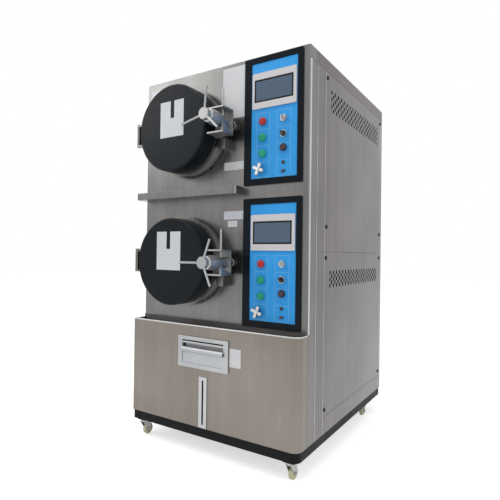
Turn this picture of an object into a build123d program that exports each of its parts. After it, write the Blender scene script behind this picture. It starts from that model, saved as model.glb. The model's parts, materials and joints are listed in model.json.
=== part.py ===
from build123d import *
import os
from math import cos, sin, radians, sqrt

# Two-deck pressure cooker test chamber: a stainless cabinet on casters, with one
# round pressure vessel, clamped door and control panel for each deck.
# Millimetres. X runs to the right, Y to the back, Z up. The origin is on the
# floor, below the centre of the whole outline.

# Cabinet
cabinet_width = 865.0
cabinet_depth = 960.0
body_height = 1592.0
caster_height = 80.0
plinth_height = 40.0
plinth_inset = 4.0
sheet = 2.0
fold_radius = 5.0
seam = 1.5

# Base box in front of the wall
base_reach = 67.3
base_height = 467.0
base_corner = 35.0
lip_height = 4.0
lip_width = 12.0
trough_depth = 34.0
trough_fit = 0.2
wall_start = 430.0

# Sides and back
pillar_depth = 65.0
side_strip = 85.0
rear_strip = 20.0
low_strip = 72.0
panel_split = 753.0
top_band = 49.0
rail_lap = 18.0

# Vents in the access panels
vent_front = 218.0
vent_length = 652.0
upper_vent_top = 88.0
upper_vent_height = 90.0
lower_vent_top = 78.0
lower_vent_height = 62.0
vent_slot = 5.0
vent_pitch = 24.0
vent_bar = 10.0

# Panel screws
screw_head = 7.0
screw_head_height = 3.0
screw_shank = 3.0
screw_fit = 0.1
screw_edge = 25.0
screw_side = 12.5
screw_reach = 6.0

# Doors, measured from the right side and from the underside of the plinth
door_from_right = 602.0
door_height = 743.0
deck_pitch = 580.0
vessel_bore = 150.0
vessel_wall = 3.0
vessel_depth = 430.0
vessel_dish = 60.0
vessel_fit = 1.0
flange_radius = 190.0
flange_thickness = 28.0
gasket_inner = 156.0
gasket_outer = 172.0
gasket_thickness = 4.0
seal_gap = 0.3
plate_radius = 199.0
plate_thickness = 14.0
cap_radius = 188.5
cap_depth = 76.0
cap_wall = 3.0
cap_edge = 6.0
decks = {"lower": 0, "upper": 1}
quarter_turn = 90.0

# Door hinge
hinge_from_right = 838.0
hinge_ahead = 80.0
hinge_barrel = 10.0
hinge_pin = 6.0
hinge_fit = 0.05
hinge_gap = 0.3
arm_height = 47.0
arm_thickness = 8.0
post_plate = 8.0
post_foot_width = 34.0
post_foot = 4.0
pin_head = 9.0
pin_head_height = 4.0

# Door clamp
clamp_from_right = 355.0
bracket_depth = 74.0
bracket_right = 30.0
bracket_left = 50.0
bracket_half = 50.0
bracket_plate = 6.0
bracket_back = 6.0
bracket_clear = 1.0
boss_radius = 22.0
gusset_height = 36.0
pull_bar = 5.0
pull_bar_top = 139.0
pull_bar_back = 40.0
clamp_screw = 7.0
clamp_fit = 0.05
clamp_gap = 0.3
thrust_radius = 27.0
thrust_thickness = 7.4
bell_length = 64.0
bell_back = 30.0
bell_front = 20.0
bell_shoulder = 27.0
neck_radius = 15.0
neck_length = 6.0
hub_radius = 24.0
hub_length = 18.0
hub_edge = 3.0
spoke_radius = 4.5
spoke_reach = 105.0
spoke_lean = 20.0
spoke_angles = {"lower": (61.0, 180.0, 302.0), "upper": (76.0, 200.0, 319.0)}
socket_radius = 18.0
socket_bore = 9.7
socket_height = 14.0
socket_edge = 2.0
screw_tip_gap = 1.5

# Door switch block on the wall, under the clamp
switch_from_right = 386.0
switch_width = 36.0
switch_top = 57.0
switch_height = 43.0
switch_depth = 45.0
switch_screw = 4.0
switch_screw_height = 4.0

# Drip bar between the decks
drip_right = 303.0
drip_reach = 60.0
drip_low = 1028.0
drip_height = 32.0
drip_corner = 15.0

# Control panels, heights from the underside of the plinth on the lower deck
frame_from_right = 28.0
frame_width = 268.0
frame_low = 482.0
frame_height = 526.0
frame_corner = 4.0
frame_lip = 3.0
frame_lap = 4.0
window_from_right = 50.0
window_width = 212.0
window_low = 508.0
window_height = 475.0
window_thickness = 4.0
window_fit = 0.2

# Touch screen
screen_from_right = 54.0
screen_width = 202.0
screen_low = 794.0
screen_height = 146.0
screen_proud = 6.0
screen_corner = 5.0
screen_body = 30.0
screen_body_inset = 6.0
glass_margin_left = 10.0
glass_margin_right = 13.0
glass_margin_high = 27.0
glass_margin_low = 26.0
glass_thickness = 3.0
glass_recess = 1.0
glass_fit = 0.2

# Buttons and switches
left_column = 206.0
right_column = 111.0
button_rows = {"red": 740.0, "green_1": 674.8, "green_2": 609.0}
key_row = 741.0
selector_row = 679.0
buzzer_row = 624.0
port_row = 565.0
socket_row = 530.5
collar_radius = 15.0
collar_height = 6.0
collar_web = 2.0
barrel_radius = 11.0
barrel_bore = 8.05
barrel_length = 26.0
barrel_hole_fit = 0.1
button_radius = 11.4
button_well = 11.8
button_travel = 3.0
button_gap = 0.4
button_proud = 3.5
button_edge = 1.5
switch_stem = 8.0
key_radius = 11.0
key_face = 4.0
key_thickness = 3.0
key_width = 18.0
key_length = 16.0
selector_radius = 11.4
selector_face = 3.0
selector_grip = 7.0
selector_height = 10.0
selector_turn = 45.0
buzzer_radius = 15.0
buzzer_top_radius = 12.0
buzzer_height = 12.0
port_radius = 7.0
port_bore = 4.0
port_height = 3.0
connector_width = 16.0
connector_height = 10.0

# Valve knob
valve_column = 218.0
valve_row = 545.0
valve_nut = 10.0
valve_nut_height = 9.0
valve_stem = 4.0
valve_knob_gap = 3.0
valve_hub = 9.0
valve_thickness = 10.0
valve_reach = 23.0
valve_lobe = 5.0
valve_turn = 20.0

# Filling drawer
fill_from_right = 318.0
fill_width = 267.0
fill_low = 289.0
fill_height = 133.0
fill_flange = 6.0
fill_corner = 3.0
fill_border = 23.0
fill_border_low = 18.0
fill_border_high = 16.0
sleeve_wall = 2.0
sleeve_depth = 120.0
hood_low = 85.0
hood_height = 8.0
hood_depth = 5.0
drawer_side_fit = 0.5
drawer_floor_fit = 0.3
drawer_wall = 2.0
drawer_height = 46.0
drawer_depth = 122.0
drawer_front_setback = 2.0
drawer_lip_height = 70.0
drawer_lip = 12.5

# Level gauge
gauge_from_right = 428.0
gauge_width = 42.0
gauge_low = 42.0
gauge_height = 214.0
gauge_thickness = 3.0
gauge_slot = 9.0
gauge_margin = 14.0

# Inner parts
rack_drop = 60.0
rack_rail = 8.0
rack_rod = 4.0
rack_pitch = 40.0
rack_length = 400.0
rack_front = 15.0
rack_seat = 0.3
heater_drop = 120.0
heater_tube = 6.0
heater_half = 50.0
heater_front = 40.0
heater_length = 340.0
heater_support = 6.0
heater_support_width = 12.0
tank_width = 700.0
tank_depth = 380.0
tank_height = 200.0
tank_front = 80.0
tank_wall = 3.0
tank_rail = 40.0

# Back fittings
stub_length = 32.0
stub_from_right = 700.0
stub_pitch = 90.0
stub_row = 150.0
stub_radii = (10.5, 10.5, 8.3)
stub_wall = 2.5
stub_nut = 15.0
stub_nut_height = 7.0
stub_inside = 12.0
gland_from_right = 160.0
gland_radius = 16.0
gland_bore = 9.0
gland_length = 28.0
fitting_hole_fit = 0.3

# Casters
caster_inset = 46.0
caster_front = 34.0
caster_back = 822.0
caster_plate = 52.0
caster_plate_corner = 8.0
caster_plate_thickness = 4.0
caster_trail = 18.0
swivel_radius = 20.0
swivel_height = 8.0
swivel_gap = 0.3
kingpin_radius = 5.0
kingpin_fit = 0.05
kingpin_head_gap = 0.6
wheel_radius = 25.0
wheel_width = 18.0
wheel_edge = 3.0
wheel_groove = 2.0
wheel_gap = 1.0
fork_leg = 2.5
fork_leg_width = 16.0
crown_thickness = 3.0
axle_radius = 4.0
axle_fit = 0.05
axle_head = 6.5
axle_head_height = 4.0
casters = {
    "front_right": (1, -caster_front, 1),
    "front_left": (-1, -caster_front, 1),
    "rear_right": (1, caster_back, -1),
    "rear_left": (-1, caster_back, -1),
}

# Distances that follow from the values above, measured forward from the wall
seal_ahead = flange_thickness + gasket_thickness
plate_back = seal_ahead + seal_gap
plate_front = plate_back + plate_thickness
boss_ahead = plate_front + bracket_depth
thrust_back = boss_ahead + clamp_gap
bell_ahead = thrust_back + thrust_thickness + clamp_gap
hub_back = bell_ahead + bell_length
hub_ahead = hub_back + hub_length
spoke_root = hub_back + hub_length / 2
spoke_end = spoke_root + spoke_lean
front_reach = max(hub_ahead, spoke_end + spoke_radius)
rear_reach = cabinet_depth + stub_length

right_x = cabinet_width / 2
wall_y = (front_reach - rear_reach) / 2
back_y = wall_y + cabinet_depth


def fromRight(distance):
    return right_x - distance


def ahead(distance):
    return wall_y - distance


def behind(distance):
    return wall_y + distance


def above(height):
    return caster_height + height


def deckHeight(height, deck):
    return above(height + deck_pitch * decks[deck])


def block(x0, x1, y0, y1, z0, z1):
    centre = Pos((x0 + x1) / 2, (y0 + y1) / 2, (z0 + z1) / 2)
    return centre * Box(abs(x1 - x0), abs(y1 - y0), abs(z1 - z0))


def roundedBlock(x0, x1, y0, y1, z0, z1, radius):
    # a flat plate in the plane of the wall, with rounded corners
    outline = RectangleRounded(abs(x1 - x0), abs(z1 - z0), radius)
    middle = Vector((x0 + x1) / 2, max(y0, y1), (z0 + z1) / 2)
    return extrude(Plane(middle, x_dir=(1, 0, 0), z_dir=(0, -1, 0)) * outline, abs(y1 - y0))


def rod(radius, start, end):
    start = Vector(start)
    along = Vector(end) - start
    low = (Align.CENTER, Align.CENTER, Align.MIN)
    return Plane(origin=start, z_dir=along) * Cylinder(radius, along.length, align=low)


def acrossY(radius, x, z, y0, y1):
    return rod(radius, (x, y0, z), (x, y1, z))


def turned(x, z, outline):
    # revolves points of (radius, y) about a line along Y through x and z
    face = make_face(Polyline(*[Vector(r, y, 0) for r, y in outline], close=True))
    return Pos(x, 0, z) * revolve(face, Axis.Y)


def joined(*pieces):
    whole = pieces[0]
    for piece in pieces[1:]:
        whole = whole + piece
    return whole


def gathered(pieces):
    # separate solids that share one node
    return Compound(children=[solid for piece in pieces for solid in piece.solids()])


def foldedSheet(front, back, z0, z1, radius):
    # a sheet folded back at both ends, with rounded front corners
    depth = back - front

    def plan(inset, corner):
        width = cabinet_width - 2 * inset
        outline = Pos(0, (front + inset + back) / 2) * Rectangle(width, depth - inset)
        fronts = outline.vertices().sort_by(Axis.Y)[:2]
        return fillet(fronts, corner)

    outer = extrude(Pos(0, 0, z0) * plan(0, radius), z1 - z0)
    inner = extrude(Pos(0, 0, z0) * plan(sheet, radius - sheet), z1 - z0)
    return outer - inner


def plinth():
    # dark steel base frame with two rails for the tank, and the four caster plates
    front = ahead(base_reach - plinth_inset)
    rear = back_y - plinth_inset
    half = right_x - plinth_inset
    outline = Pos(0, (front + rear) / 2) * Rectangle(2 * half, rear - front)
    outline = fillet(outline.vertices().sort_by(Axis.Y)[:2], base_corner - plinth_inset)
    tray = extrude(Pos(0, 0, above(0)) * outline, plinth_height)
    wall = 2 * sheet
    hollow = block(-half + wall, half - wall, ahead(0), rear - wall, above(wall), above(plinth_height))
    tank_end = tank_front + tank_depth
    for start in (tank_front, tank_end - tank_rail):
        rail = block(-half, half, behind(start), behind(start + tank_rail), above(0), above(plinth_height))
        hollow = hollow - rail
    plates = []
    outline = RectangleRounded(caster_plate, caster_plate, caster_plate_corner)
    outline = outline - Circle(kingpin_radius + kingpin_fit)
    for side, along, _ in casters.values():
        place = Pos(side * (right_x - caster_inset), behind(along), above(-caster_plate_thickness))
        plates.append(place * extrude(outline, caster_plate_thickness))
    return gathered([tray - hollow] + plates)


def baseShell():
    # folded front box with a turned-in lip, and the drip trough inside it
    top = above(base_height)
    shell = foldedSheet(ahead(base_reach), ahead(0), above(plinth_height), top, base_corner)
    outline = foldedSheet(ahead(base_reach), ahead(0), top, top + lip_height, base_corner)
    depth = base_reach - lip_width
    rim = Pos(0, ahead(base_reach / 2)) * Rectangle(cabinet_width, base_reach)
    rim = fillet(rim.vertices().sort_by(Axis.Y)[:2], base_corner)
    well = Pos(0, ahead(depth / 2)) * Rectangle(cabinet_width - 2 * lip_width, depth)
    well = fillet(well.vertices().sort_by(Axis.Y)[:2], base_corner - lip_width)
    lip = extrude(Pos(0, 0, top) * (rim - well), lip_height)
    shell = joined(shell, outline, lip)
    window = fillInside()
    shell = shell - block(
        window[0] - sleeve_wall - window_fit,
        window[1] + sleeve_wall + window_fit,
        ahead(base_reach + sheet),
        ahead(base_reach - 2 * sheet),
        window[2] - sleeve_wall - window_fit,
        window[3] + sleeve_wall + window_fit,
    )
    slot = gaugeSlot()
    near, far = ahead(base_reach + sheet), ahead(base_reach - 2 * sheet)
    shell = shell - block(slot[0], slot[1], near, far, slot[2], slot[3])
    # the trough is a tray under the lip
    inner = sheet + trough_fit
    floor = Pos(0, ahead((base_reach - inner) / 2)) * Rectangle(cabinet_width - 2 * inner, base_reach - inner)
    floor = fillet(floor.vertices().sort_by(Axis.Y)[:2], base_corner - inner)
    trough = extrude(Pos(0, 0, top - trough_depth) * floor, sheet)
    return gathered([shell, trough])


def frontPanel():
    # stainless wall with two door holes, screen cut-outs and button holes
    wall = foldedSheet(wall_y, behind(pillar_depth), above(plinth_height), above(body_height), fold_radius)
    roof = block(
        -right_x + fold_radius, right_x - fold_radius, wall_y, behind(pillar_depth),
        above(body_height - sheet), above(body_height),
    )
    wall = wall + roof
    side = right_x - fold_radius
    wall = wall - block(-side, side, ahead(sheet), behind(2 * sheet), above(0), above(wall_start))
    for deck in decks:
        door_z = deckHeight(door_height, deck)
        hole = vessel_bore + vessel_wall + vessel_fit
        wall = wall - acrossY(hole, fromRight(door_from_right), door_z, ahead(sheet), behind(2 * sheet))
        wall = wall - controlHoles(deck, ahead(sheet), behind(2 * sheet))
    return wall


def controlHoles(deck, y0, y1):
    # what passes through a control plate and the wall behind it
    radius = barrel_radius + barrel_hole_fit
    places = [(left_column, row) for row in button_rows.values()]
    places += [(right_column, key_row), (right_column, selector_row)]
    holes = [acrossY(radius, fromRight(x), deckHeight(row, deck), y0, y1) for x, row in places]
    inset = screen_body_inset - window_fit
    left = fromRight(screen_from_right + screen_width - inset)
    right = fromRight(screen_from_right + inset)
    low = deckHeight(screen_low + inset, deck)
    high = deckHeight(screen_low + screen_height - inset, deck)
    holes.append(block(left, right, y0, y1, low, high))
    stem = valve_stem + kingpin_fit
    holes.append(acrossY(stem, fromRight(valve_column), deckHeight(valve_row, deck), y0, y1))
    return joined(*holes)


def sideFrame(side):
    # fixed strips of one side, with the ledges that carry the access panels
    outer = side * right_x
    inner = side * (right_x - sheet)
    ledge = side * (right_x - 2 * sheet)
    front = behind(pillar_depth)
    start = behind(pillar_depth + side_strip)
    rear = back_y - sheet
    finish = rear - rear_strip
    low = above(plinth_height)
    high = above(body_height - top_band)
    split = above(plinth_height + panel_split)
    skin = block(inner, outer, front, rear, low, high - seam)
    skin = skin - block(inner, outer, start, finish, above(plinth_height + low_strip), high)
    backing = block(ledge, inner, front, rear, low, high + rail_lap)
    first = block(
        ledge, inner, start + rail_lap, finish - rail_lap,
        above(plinth_height + low_strip) + rail_lap, split - rail_lap,
    )
    second = block(ledge, inner, start + rail_lap, finish - rail_lap, split + rail_lap, high - rail_lap)
    frame = joined(skin, backing - first - second)
    return frame - panelScrewHoles(side)


def accessPanel(side, deck):
    # screwed cover with a slotted vent near its upper edge
    outer = side * right_x
    inner = side * (right_x - sheet)
    y0, y1, z0, z1 = panelOutline(deck)
    panel = block(inner, outer, y0, y1, z0, z1)
    top = z1 - (upper_vent_top if deck == "upper" else lower_vent_top) + bandAbove(deck)
    return panel - ventSlots(side, top, deck) - panelScrewHoles(side)


def bandAbove(deck):
    # the upper vent is measured from the top of the cabinet, past the band that ends the cover
    return top_band if deck == "upper" else 0.0


def ventSlots(side, top, deck):
    height = upper_vent_height if deck == "upper" else lower_vent_height
    tall = (height - vent_bar) / 2
    count = int(vent_length // vent_pitch) + 1
    first = behind(vent_front) + (vent_length - (count - 1) * vent_pitch) / 2
    slots = []
    for row in range(2):
        z = top - row * (tall + vent_bar)
        for column in range(count):
            y = first + column * vent_pitch
            slots.append(
                block(
                    side * (right_x - 2 * sheet), side * (right_x + sheet),
                    y - vent_slot / 2, y + vent_slot / 2, z - tall, z,
                )
            )
    return Compound(children=slots)


def panelOutline(deck):
    y0 = behind(pillar_depth + side_strip) + seam / 2
    y1 = back_y - sheet - rear_strip - seam / 2
    split = above(plinth_height + panel_split)
    if deck == "upper":
        return y0, y1, split + seam / 2, above(body_height - top_band) - seam / 2
    return y0, y1, above(plinth_height + low_strip) + seam / 2, split - seam / 2


def panelScrewPlaces():
    places = []
    for deck in decks:
        y0, y1, z0, z1 = panelOutline(deck)
        rows = z0 + screw_edge, z1 - screw_edge
        places += [(y, z) for y in (y0 + screw_side, y1 - screw_side) for z in rows]
    return places


def panelScrewHoles(side):
    radius = screw_shank + screw_fit
    ends = side * (right_x - screw_reach - sheet), side * (right_x + sheet)
    return Compound(children=[rod(radius, (ends[0], y, z), (ends[1], y, z)) for y, z in panelScrewPlaces()])


def panelScrews():
    # black thumb screws on both sides
    screws = []
    for side in (1, -1):
        face = side * right_x
        for y, z in panelScrewPlaces():
            head = rod(screw_head, (face, y, z), (face + side * screw_head_height, y, z))
            shank = rod(screw_shank, (face - side * screw_reach, y, z), (face, y, z))
            screws.append(head + shank)
    return gathered(screws)


def topCover():
    # lid folded down at both sides and the back
    front = behind(pillar_depth) + seam
    top = above(body_height)
    low = above(body_height - top_band)
    lid = block(-right_x, right_x, front, back_y, low, top)
    hollow = block(-right_x + sheet, right_x - sheet, front, back_y - sheet, low, top - sheet)
    return lid - hollow


def rearPanel():
    high = above(body_height - top_band) - seam
    panel = block(-right_x, right_x, back_y - sheet, back_y, above(plinth_height), high)
    for x, radius in stubPlaces():
        hole = radius + fitting_hole_fit
        panel = panel - acrossY(hole, x, above(stub_row), back_y - 2 * sheet, back_y + sheet)
    hole = gland_radius - stub_wall + fitting_hole_fit
    gland_x = fromRight(gland_from_right)
    return panel - acrossY(hole, gland_x, above(stub_row), back_y - 2 * sheet, back_y + sheet)


def stubPlaces():
    return [(fromRight(stub_from_right - n * stub_pitch), radius) for n, radius in enumerate(stub_radii)]


def rearFittings():
    # drain, exhaust and water stubs, and the gland for the supply cable
    z = above(stub_row)
    fittings = []
    for x, radius in stubPlaces():
        bore = radius - stub_wall
        outline = [
            (bore, back_y - stub_inside),
            (radius, back_y - stub_inside),
            (radius, back_y),
            (stub_nut, back_y),
            (stub_nut, back_y + stub_nut_height),
            (radius, back_y + stub_nut_height),
            (radius, back_y + stub_length),
            (bore, back_y + stub_length),
        ]
        fittings.append(turned(x, z, outline))
    neck = gland_radius - stub_wall
    outline = [
        (gland_bore, back_y - stub_inside),
        (neck, back_y - stub_inside),
        (neck, back_y),
        (gland_radius, back_y),
        (gland_radius, back_y + gland_length / 2),
        (neck, back_y + gland_length),
        (gland_bore, back_y + gland_length),
    ]
    fittings.append(turned(fromRight(gland_from_right), z, outline))
    return gathered(fittings)


def dripBar():
    # open-topped gutter above the lower door
    left = -right_x
    right = fromRight(drip_right)
    low = above(drip_low)

    def plan(inset):
        width = right - left - 2 * inset
        outline = Pos((left + right) / 2, ahead(drip_reach / 2)) * Rectangle(width, drip_reach - 2 * inset)
        corner = outline.vertices().sort_by(Axis.Y)[:2].sort_by(Axis.X)[-1]
        return fillet(corner, drip_corner - inset)

    outer = extrude(Pos(0, 0, low) * plan(0), drip_height)
    return outer - extrude(Pos(0, 0, low + sheet) * plan(sheet), drip_height)


def controlFrame(deck):
    # glossy surround that laps over the edge of the control plate
    left = fromRight(frame_from_right + frame_width)
    right = fromRight(frame_from_right)
    low = deckHeight(frame_low, deck)
    front = ahead(window_thickness + frame_lip)
    frame = roundedBlock(left, right, front, wall_y, low, low + frame_height, frame_corner)
    w = windowOutline(deck)
    frame = frame - block(w[0], w[1], ahead(2 * window_thickness + frame_lip), behind(sheet), w[2], w[3])
    lap = frame_lap + window_fit
    near = ahead(window_thickness)
    return frame - block(w[0] - lap, w[1] + lap, near, behind(sheet), w[2] - lap, w[3] + lap)


def windowOutline(deck):
    left = fromRight(window_from_right + window_width)
    low = deckHeight(window_low, deck)
    return left, left + window_width, low, low + window_height


def controlPlate(deck):
    # blue plate behind the frame, with holes for the controls
    w = windowOutline(deck)
    plate = block(
        w[0] - frame_lap, w[1] + frame_lap, ahead(window_thickness), wall_y,
        w[2] - frame_lap, w[3] + frame_lap,
    )
    return plate - controlHoles(deck, ahead(2 * window_thickness), behind(sheet))


def glassOutline(deck):
    left = fromRight(screen_from_right + screen_width - glass_margin_left)
    right = fromRight(screen_from_right + glass_margin_right)
    low = deckHeight(screen_low + glass_margin_low, deck)
    high = deckHeight(screen_low + screen_height - glass_margin_high, deck)
    return left, right, low, high


def touchScreen(deck):
    # pale bezel on the plate, with its body through the wall
    left = fromRight(screen_from_right + screen_width)
    right = fromRight(screen_from_right)
    low = deckHeight(screen_low, deck)
    high = low + screen_height
    plate = window_thickness
    bezel = roundedBlock(left, right, ahead(plate + screen_proud), ahead(plate), low, high, screen_corner)
    inset = screen_body_inset
    body = block(left + inset, right - inset, ahead(plate), behind(screen_body), low + inset, high - inset)
    g = glassOutline(deck)
    pocket = block(
        g[0], g[1], ahead(plate + 2 * screen_proud),
        ahead(plate + screen_proud - glass_recess - glass_thickness), g[2], g[3],
    )
    return bezel + body - pocket


def screenGlass(deck):
    g = glassOutline(deck)
    front = window_thickness + screen_proud - glass_recess
    fit = glass_fit
    return block(g[0] + fit, g[1] - fit, ahead(front), ahead(front - glass_thickness), g[2] + fit, g[3] - fit)


def pressureVessel(deck):
    # round vessel with a dished back and a thick front flange
    bore = vessel_bore
    outer = bore + vessel_wall
    start = behind(vessel_depth)
    flange = [
        (bore, ahead(flange_thickness)),
        (flange_radius, ahead(flange_thickness)),
        (flange_radius, wall_y),
        (outer, wall_y),
        (outer, start),
        (bore, start),
    ]
    x = fromRight(door_from_right)
    z = deckHeight(door_height, deck)
    dish = dished(x, z, outer, start, vessel_dish) - dished(x, z, bore, start, vessel_dish - vessel_wall)
    return turned(x, z, flange) + dish


def dished(x, z, radius, start, height):
    # half an ellipse turned about the vessel's axis
    rim = EllipticalCenterArc((0, start, 0), radius, height, start_angle=0, arc_size=quarter_turn)
    axis = Line(rim @ 1, (0, start, 0))
    base = Line((0, start, 0), rim @ 0)
    return Pos(x, 0, z) * revolve(make_face([rim, axis, base]), Axis.Y)


def doorGasket(deck):
    outline = [
        (gasket_inner, ahead(seal_ahead)),
        (gasket_outer, ahead(seal_ahead)),
        (gasket_outer, ahead(flange_thickness)),
        (gasket_inner, ahead(flange_thickness)),
    ]
    return turned(fromRight(door_from_right), deckHeight(door_height, deck), outline)


def doorPlate(deck):
    # pressure plate with two hinge arms
    x = fromRight(door_from_right)
    z = deckHeight(door_height, deck)
    plate = acrossY(plate_radius, x, z, ahead(plate_back), ahead(plate_front))
    hinge_x = fromRight(hinge_from_right)
    foot = bracket_clear + cap_radius
    arms = []
    for side in (1, -1):
        middle = z + side * arm_height
        low = middle - arm_thickness / 2
        high = low + arm_thickness
        arm = block(hinge_x, x, ahead(hinge_ahead + hinge_barrel), ahead(plate_front), low, high)
        eye = rod(hinge_barrel, (hinge_x, ahead(hinge_ahead), low), (hinge_x, ahead(hinge_ahead), high))
        slope = Polyline(
            (hinge_x - hinge_barrel, ahead(hinge_ahead - hinge_barrel)),
            (hinge_x - hinge_barrel, ahead(plate_front)),
            (x - foot, ahead(plate_front)),
            (hinge_x + hinge_barrel, ahead(hinge_ahead - hinge_barrel)),
            close=True,
        )
        below = extrude(Pos(0, 0, low) * make_face(slope), arm_thickness)
        web = block(hinge_x, x, ahead(hinge_ahead - hinge_barrel), ahead(plate_front), low, high)
        web = web - acrossY(plate_radius, x, z, ahead(hinge_ahead), ahead(plate_front))
        arms.append(arm - (below & web) + eye)
    room = acrossY(foot, x, z, ahead(plate_front), ahead(plate_front + cap_depth))
    arms = joined(*arms) - room
    pin = hinge_pin + hinge_fit
    y = ahead(hinge_ahead)
    bore = rod(pin, (hinge_x, y, z - flange_radius), (hinge_x, y, z + flange_radius))
    return plate + (arms - bore)


def doorCap(deck):
    # black insulated cap, open at the back against the plate
    front = ahead(plate_front + cap_depth)
    back = ahead(plate_front)
    outline = [
        (0, front),
        (cap_radius - cap_edge, front),
        (cap_radius, front + cap_edge),
        (cap_radius, back),
        (cap_radius - cap_wall, back),
        (cap_radius - cap_wall, front + cap_edge + cap_wall),
        (cap_radius - cap_edge - cap_wall, front + cap_wall),
        (0, front + cap_wall),
    ]
    return turned(fromRight(door_from_right), deckHeight(door_height, deck), outline)


def clampBracket(deck):
    # welded bracket: back plate, threaded boss, two flat plates, gusset and pull bar
    x = fromRight(clamp_from_right)
    z = deckHeight(door_height, deck)
    left = x - bracket_left
    right = x + bracket_right
    half = bracket_half + bracket_plate / 2
    back = ahead(plate_front)
    front = ahead(boss_ahead)
    reach = bracket_left + bracket_back + plate_radius - cap_radius
    back_plate = block(x - reach, right, ahead(plate_front + bracket_back), back, z - half, z + half)
    boss = acrossY(boss_radius, x, z, back, front)
    plates = [
        block(left, right, front, back, z + side * bracket_half - bracket_plate / 2,
              z + side * bracket_half + bracket_plate / 2)
        for side in (1, -1)
    ]
    low = z - bracket_half + bracket_plate / 2
    triangle = Polyline(
        (front, low),
        (front, low + gusset_height),
        (back, low),
        close=True,
    )
    gusset = extrude(Plane.YZ.offset(right - bracket_plate) * make_face(triangle), bracket_plate)
    bar_y = ahead(boss_ahead - pull_bar_back)
    bar = rod(pull_bar, (x, bar_y, z + boss_radius / 2), (x, bar_y, z + pull_bar_top))
    whole = joined(back_plate, boss, *plates, gusset, bar)
    room = cap_radius + bracket_clear
    whole = whole - acrossY(room, fromRight(door_from_right), z, back + sheet, front - sheet)
    return whole - acrossY(clamp_screw + clamp_fit, x, z, back + sheet, front - sheet)


def thrustRing(deck):
    outline = [
        (clamp_screw + clamp_fit, ahead(thrust_back)),
        (thrust_radius, ahead(thrust_back)),
        (thrust_radius, ahead(thrust_back + thrust_thickness)),
        (clamp_screw + clamp_fit, ahead(thrust_back + thrust_thickness)),
    ]
    return turned(fromRight(clamp_from_right), deckHeight(door_height, deck), outline)


def handNut(deck):
    # bell-shaped nut, front hub, three leaning spokes and the clamp screw
    x = fromRight(clamp_from_right)
    z = deckHeight(door_height, deck)
    outline = [
        (0, ahead(screw_tip_gap)),
        (clamp_screw - hub_edge / 2, ahead(screw_tip_gap)),
        (clamp_screw, ahead(screw_tip_gap + hub_edge / 2)),
        (clamp_screw, ahead(bell_ahead)),
        (bell_back, ahead(bell_ahead)),
        (bell_back, ahead(bell_ahead + bell_length / 3)),
        (bell_shoulder, ahead(bell_ahead + bell_length - neck_length - hub_edge * 2)),
        (bell_front, ahead(bell_ahead + bell_length - neck_length)),
        (neck_radius, ahead(bell_ahead + bell_length - neck_length)),
        (neck_radius, ahead(hub_back)),
        (hub_radius, ahead(hub_back)),
        (hub_radius, ahead(hub_ahead - hub_edge)),
        (hub_radius - hub_edge, ahead(hub_ahead)),
        (0, ahead(hub_ahead)),
    ]
    nut = turned(x, z, outline)
    for angle in spoke_angles[deck]:
        out = Vector(cos(radians(angle)), 0, sin(radians(angle)))
        centre = Vector(x, ahead(spoke_root), z)
        tip = Vector(x, ahead(spoke_end), z) + out * (spoke_reach - spoke_radius)
        nut = nut + rod(spoke_radius, centre, tip) + Pos(*tip) * Sphere(spoke_radius)
    return nut


def doorInterlock(deck):
    # wall socket for the clamp screw, and the switch block below it
    x = fromRight(clamp_from_right)
    z = deckHeight(door_height, deck)
    socket = turned(
        x,
        z,
        [
            (socket_bore, wall_y),
            (socket_radius, wall_y),
            (socket_radius, ahead(socket_height - socket_edge)),
            (socket_radius - socket_edge, ahead(socket_height)),
            (socket_bore, ahead(socket_height)),
        ],
    )
    left = fromRight(switch_from_right + switch_width / 2)
    right = left + switch_width
    high = z - switch_top
    middle = high - switch_height / 2
    housing = block(left, right, ahead(switch_depth), wall_y, high - switch_height, high)
    y = ahead(switch_depth / 2)
    knob = rod(switch_screw, (right, y, middle), (right + switch_screw_height, y, middle))
    return [socket, housing + knob]


def hingePost(deck):
    # wall foot, standing plate and barrel, with the hinge pin through it
    x = fromRight(hinge_from_right)
    y = ahead(hinge_ahead)
    z = deckHeight(door_height, deck)
    half = arm_height - arm_thickness / 2 - hinge_gap
    foot = block(
        x - post_foot_width / 2, x + post_foot_width / 2, ahead(post_foot), wall_y, z - half, z + half
    )
    plate = block(x - post_plate / 2, x + post_plate / 2, y, wall_y, z - half, z + half)
    barrel = rod(hinge_barrel, (x, y, z - half), (x, y, z + half))
    bore = rod(hinge_pin + hinge_fit, (x, y, z - half), (x, y, z + half))
    reach = arm_height + arm_thickness / 2 + hinge_gap
    pin = rod(hinge_pin, (x, y, z - reach), (x, y, z + reach))
    head = rod(pin_head, (x, y, z + reach), (x, y, z + reach + pin_head_height))
    return [foot + plate + barrel - bore, pin + head]


def fillInside():
    # clear opening of the filling frame
    left = fromRight(fill_from_right + fill_width - fill_border)
    right = fromRight(fill_from_right + fill_border)
    return left, right, above(fill_low + fill_border_low), above(fill_low + fill_height - fill_border_high)


def fillFrame():
    # cast surround with the sleeve that the drawer runs in
    left = fromRight(fill_from_right + fill_width)
    right = fromRight(fill_from_right)
    low = above(fill_low)
    face = base_reach + fill_flange
    flange = roundedBlock(left, right, ahead(face), ahead(base_reach), low, low + fill_height, fill_corner)
    w = fillInside()
    wall = sleeve_wall
    rear = ahead(base_reach - sleeve_depth)
    sleeve = block(w[0] - wall, w[1] + wall, ahead(base_reach), rear, w[2] - wall, w[3] + wall)
    frame = flange + sleeve - block(w[0], w[1], ahead(face + wall), rear + wall, w[2], w[3])
    hood = block(
        w[0], w[1], ahead(base_reach + hood_depth), ahead(base_reach),
        w[2] + hood_low, w[2] + hood_low + hood_height,
    )
    return frame + hood


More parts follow.
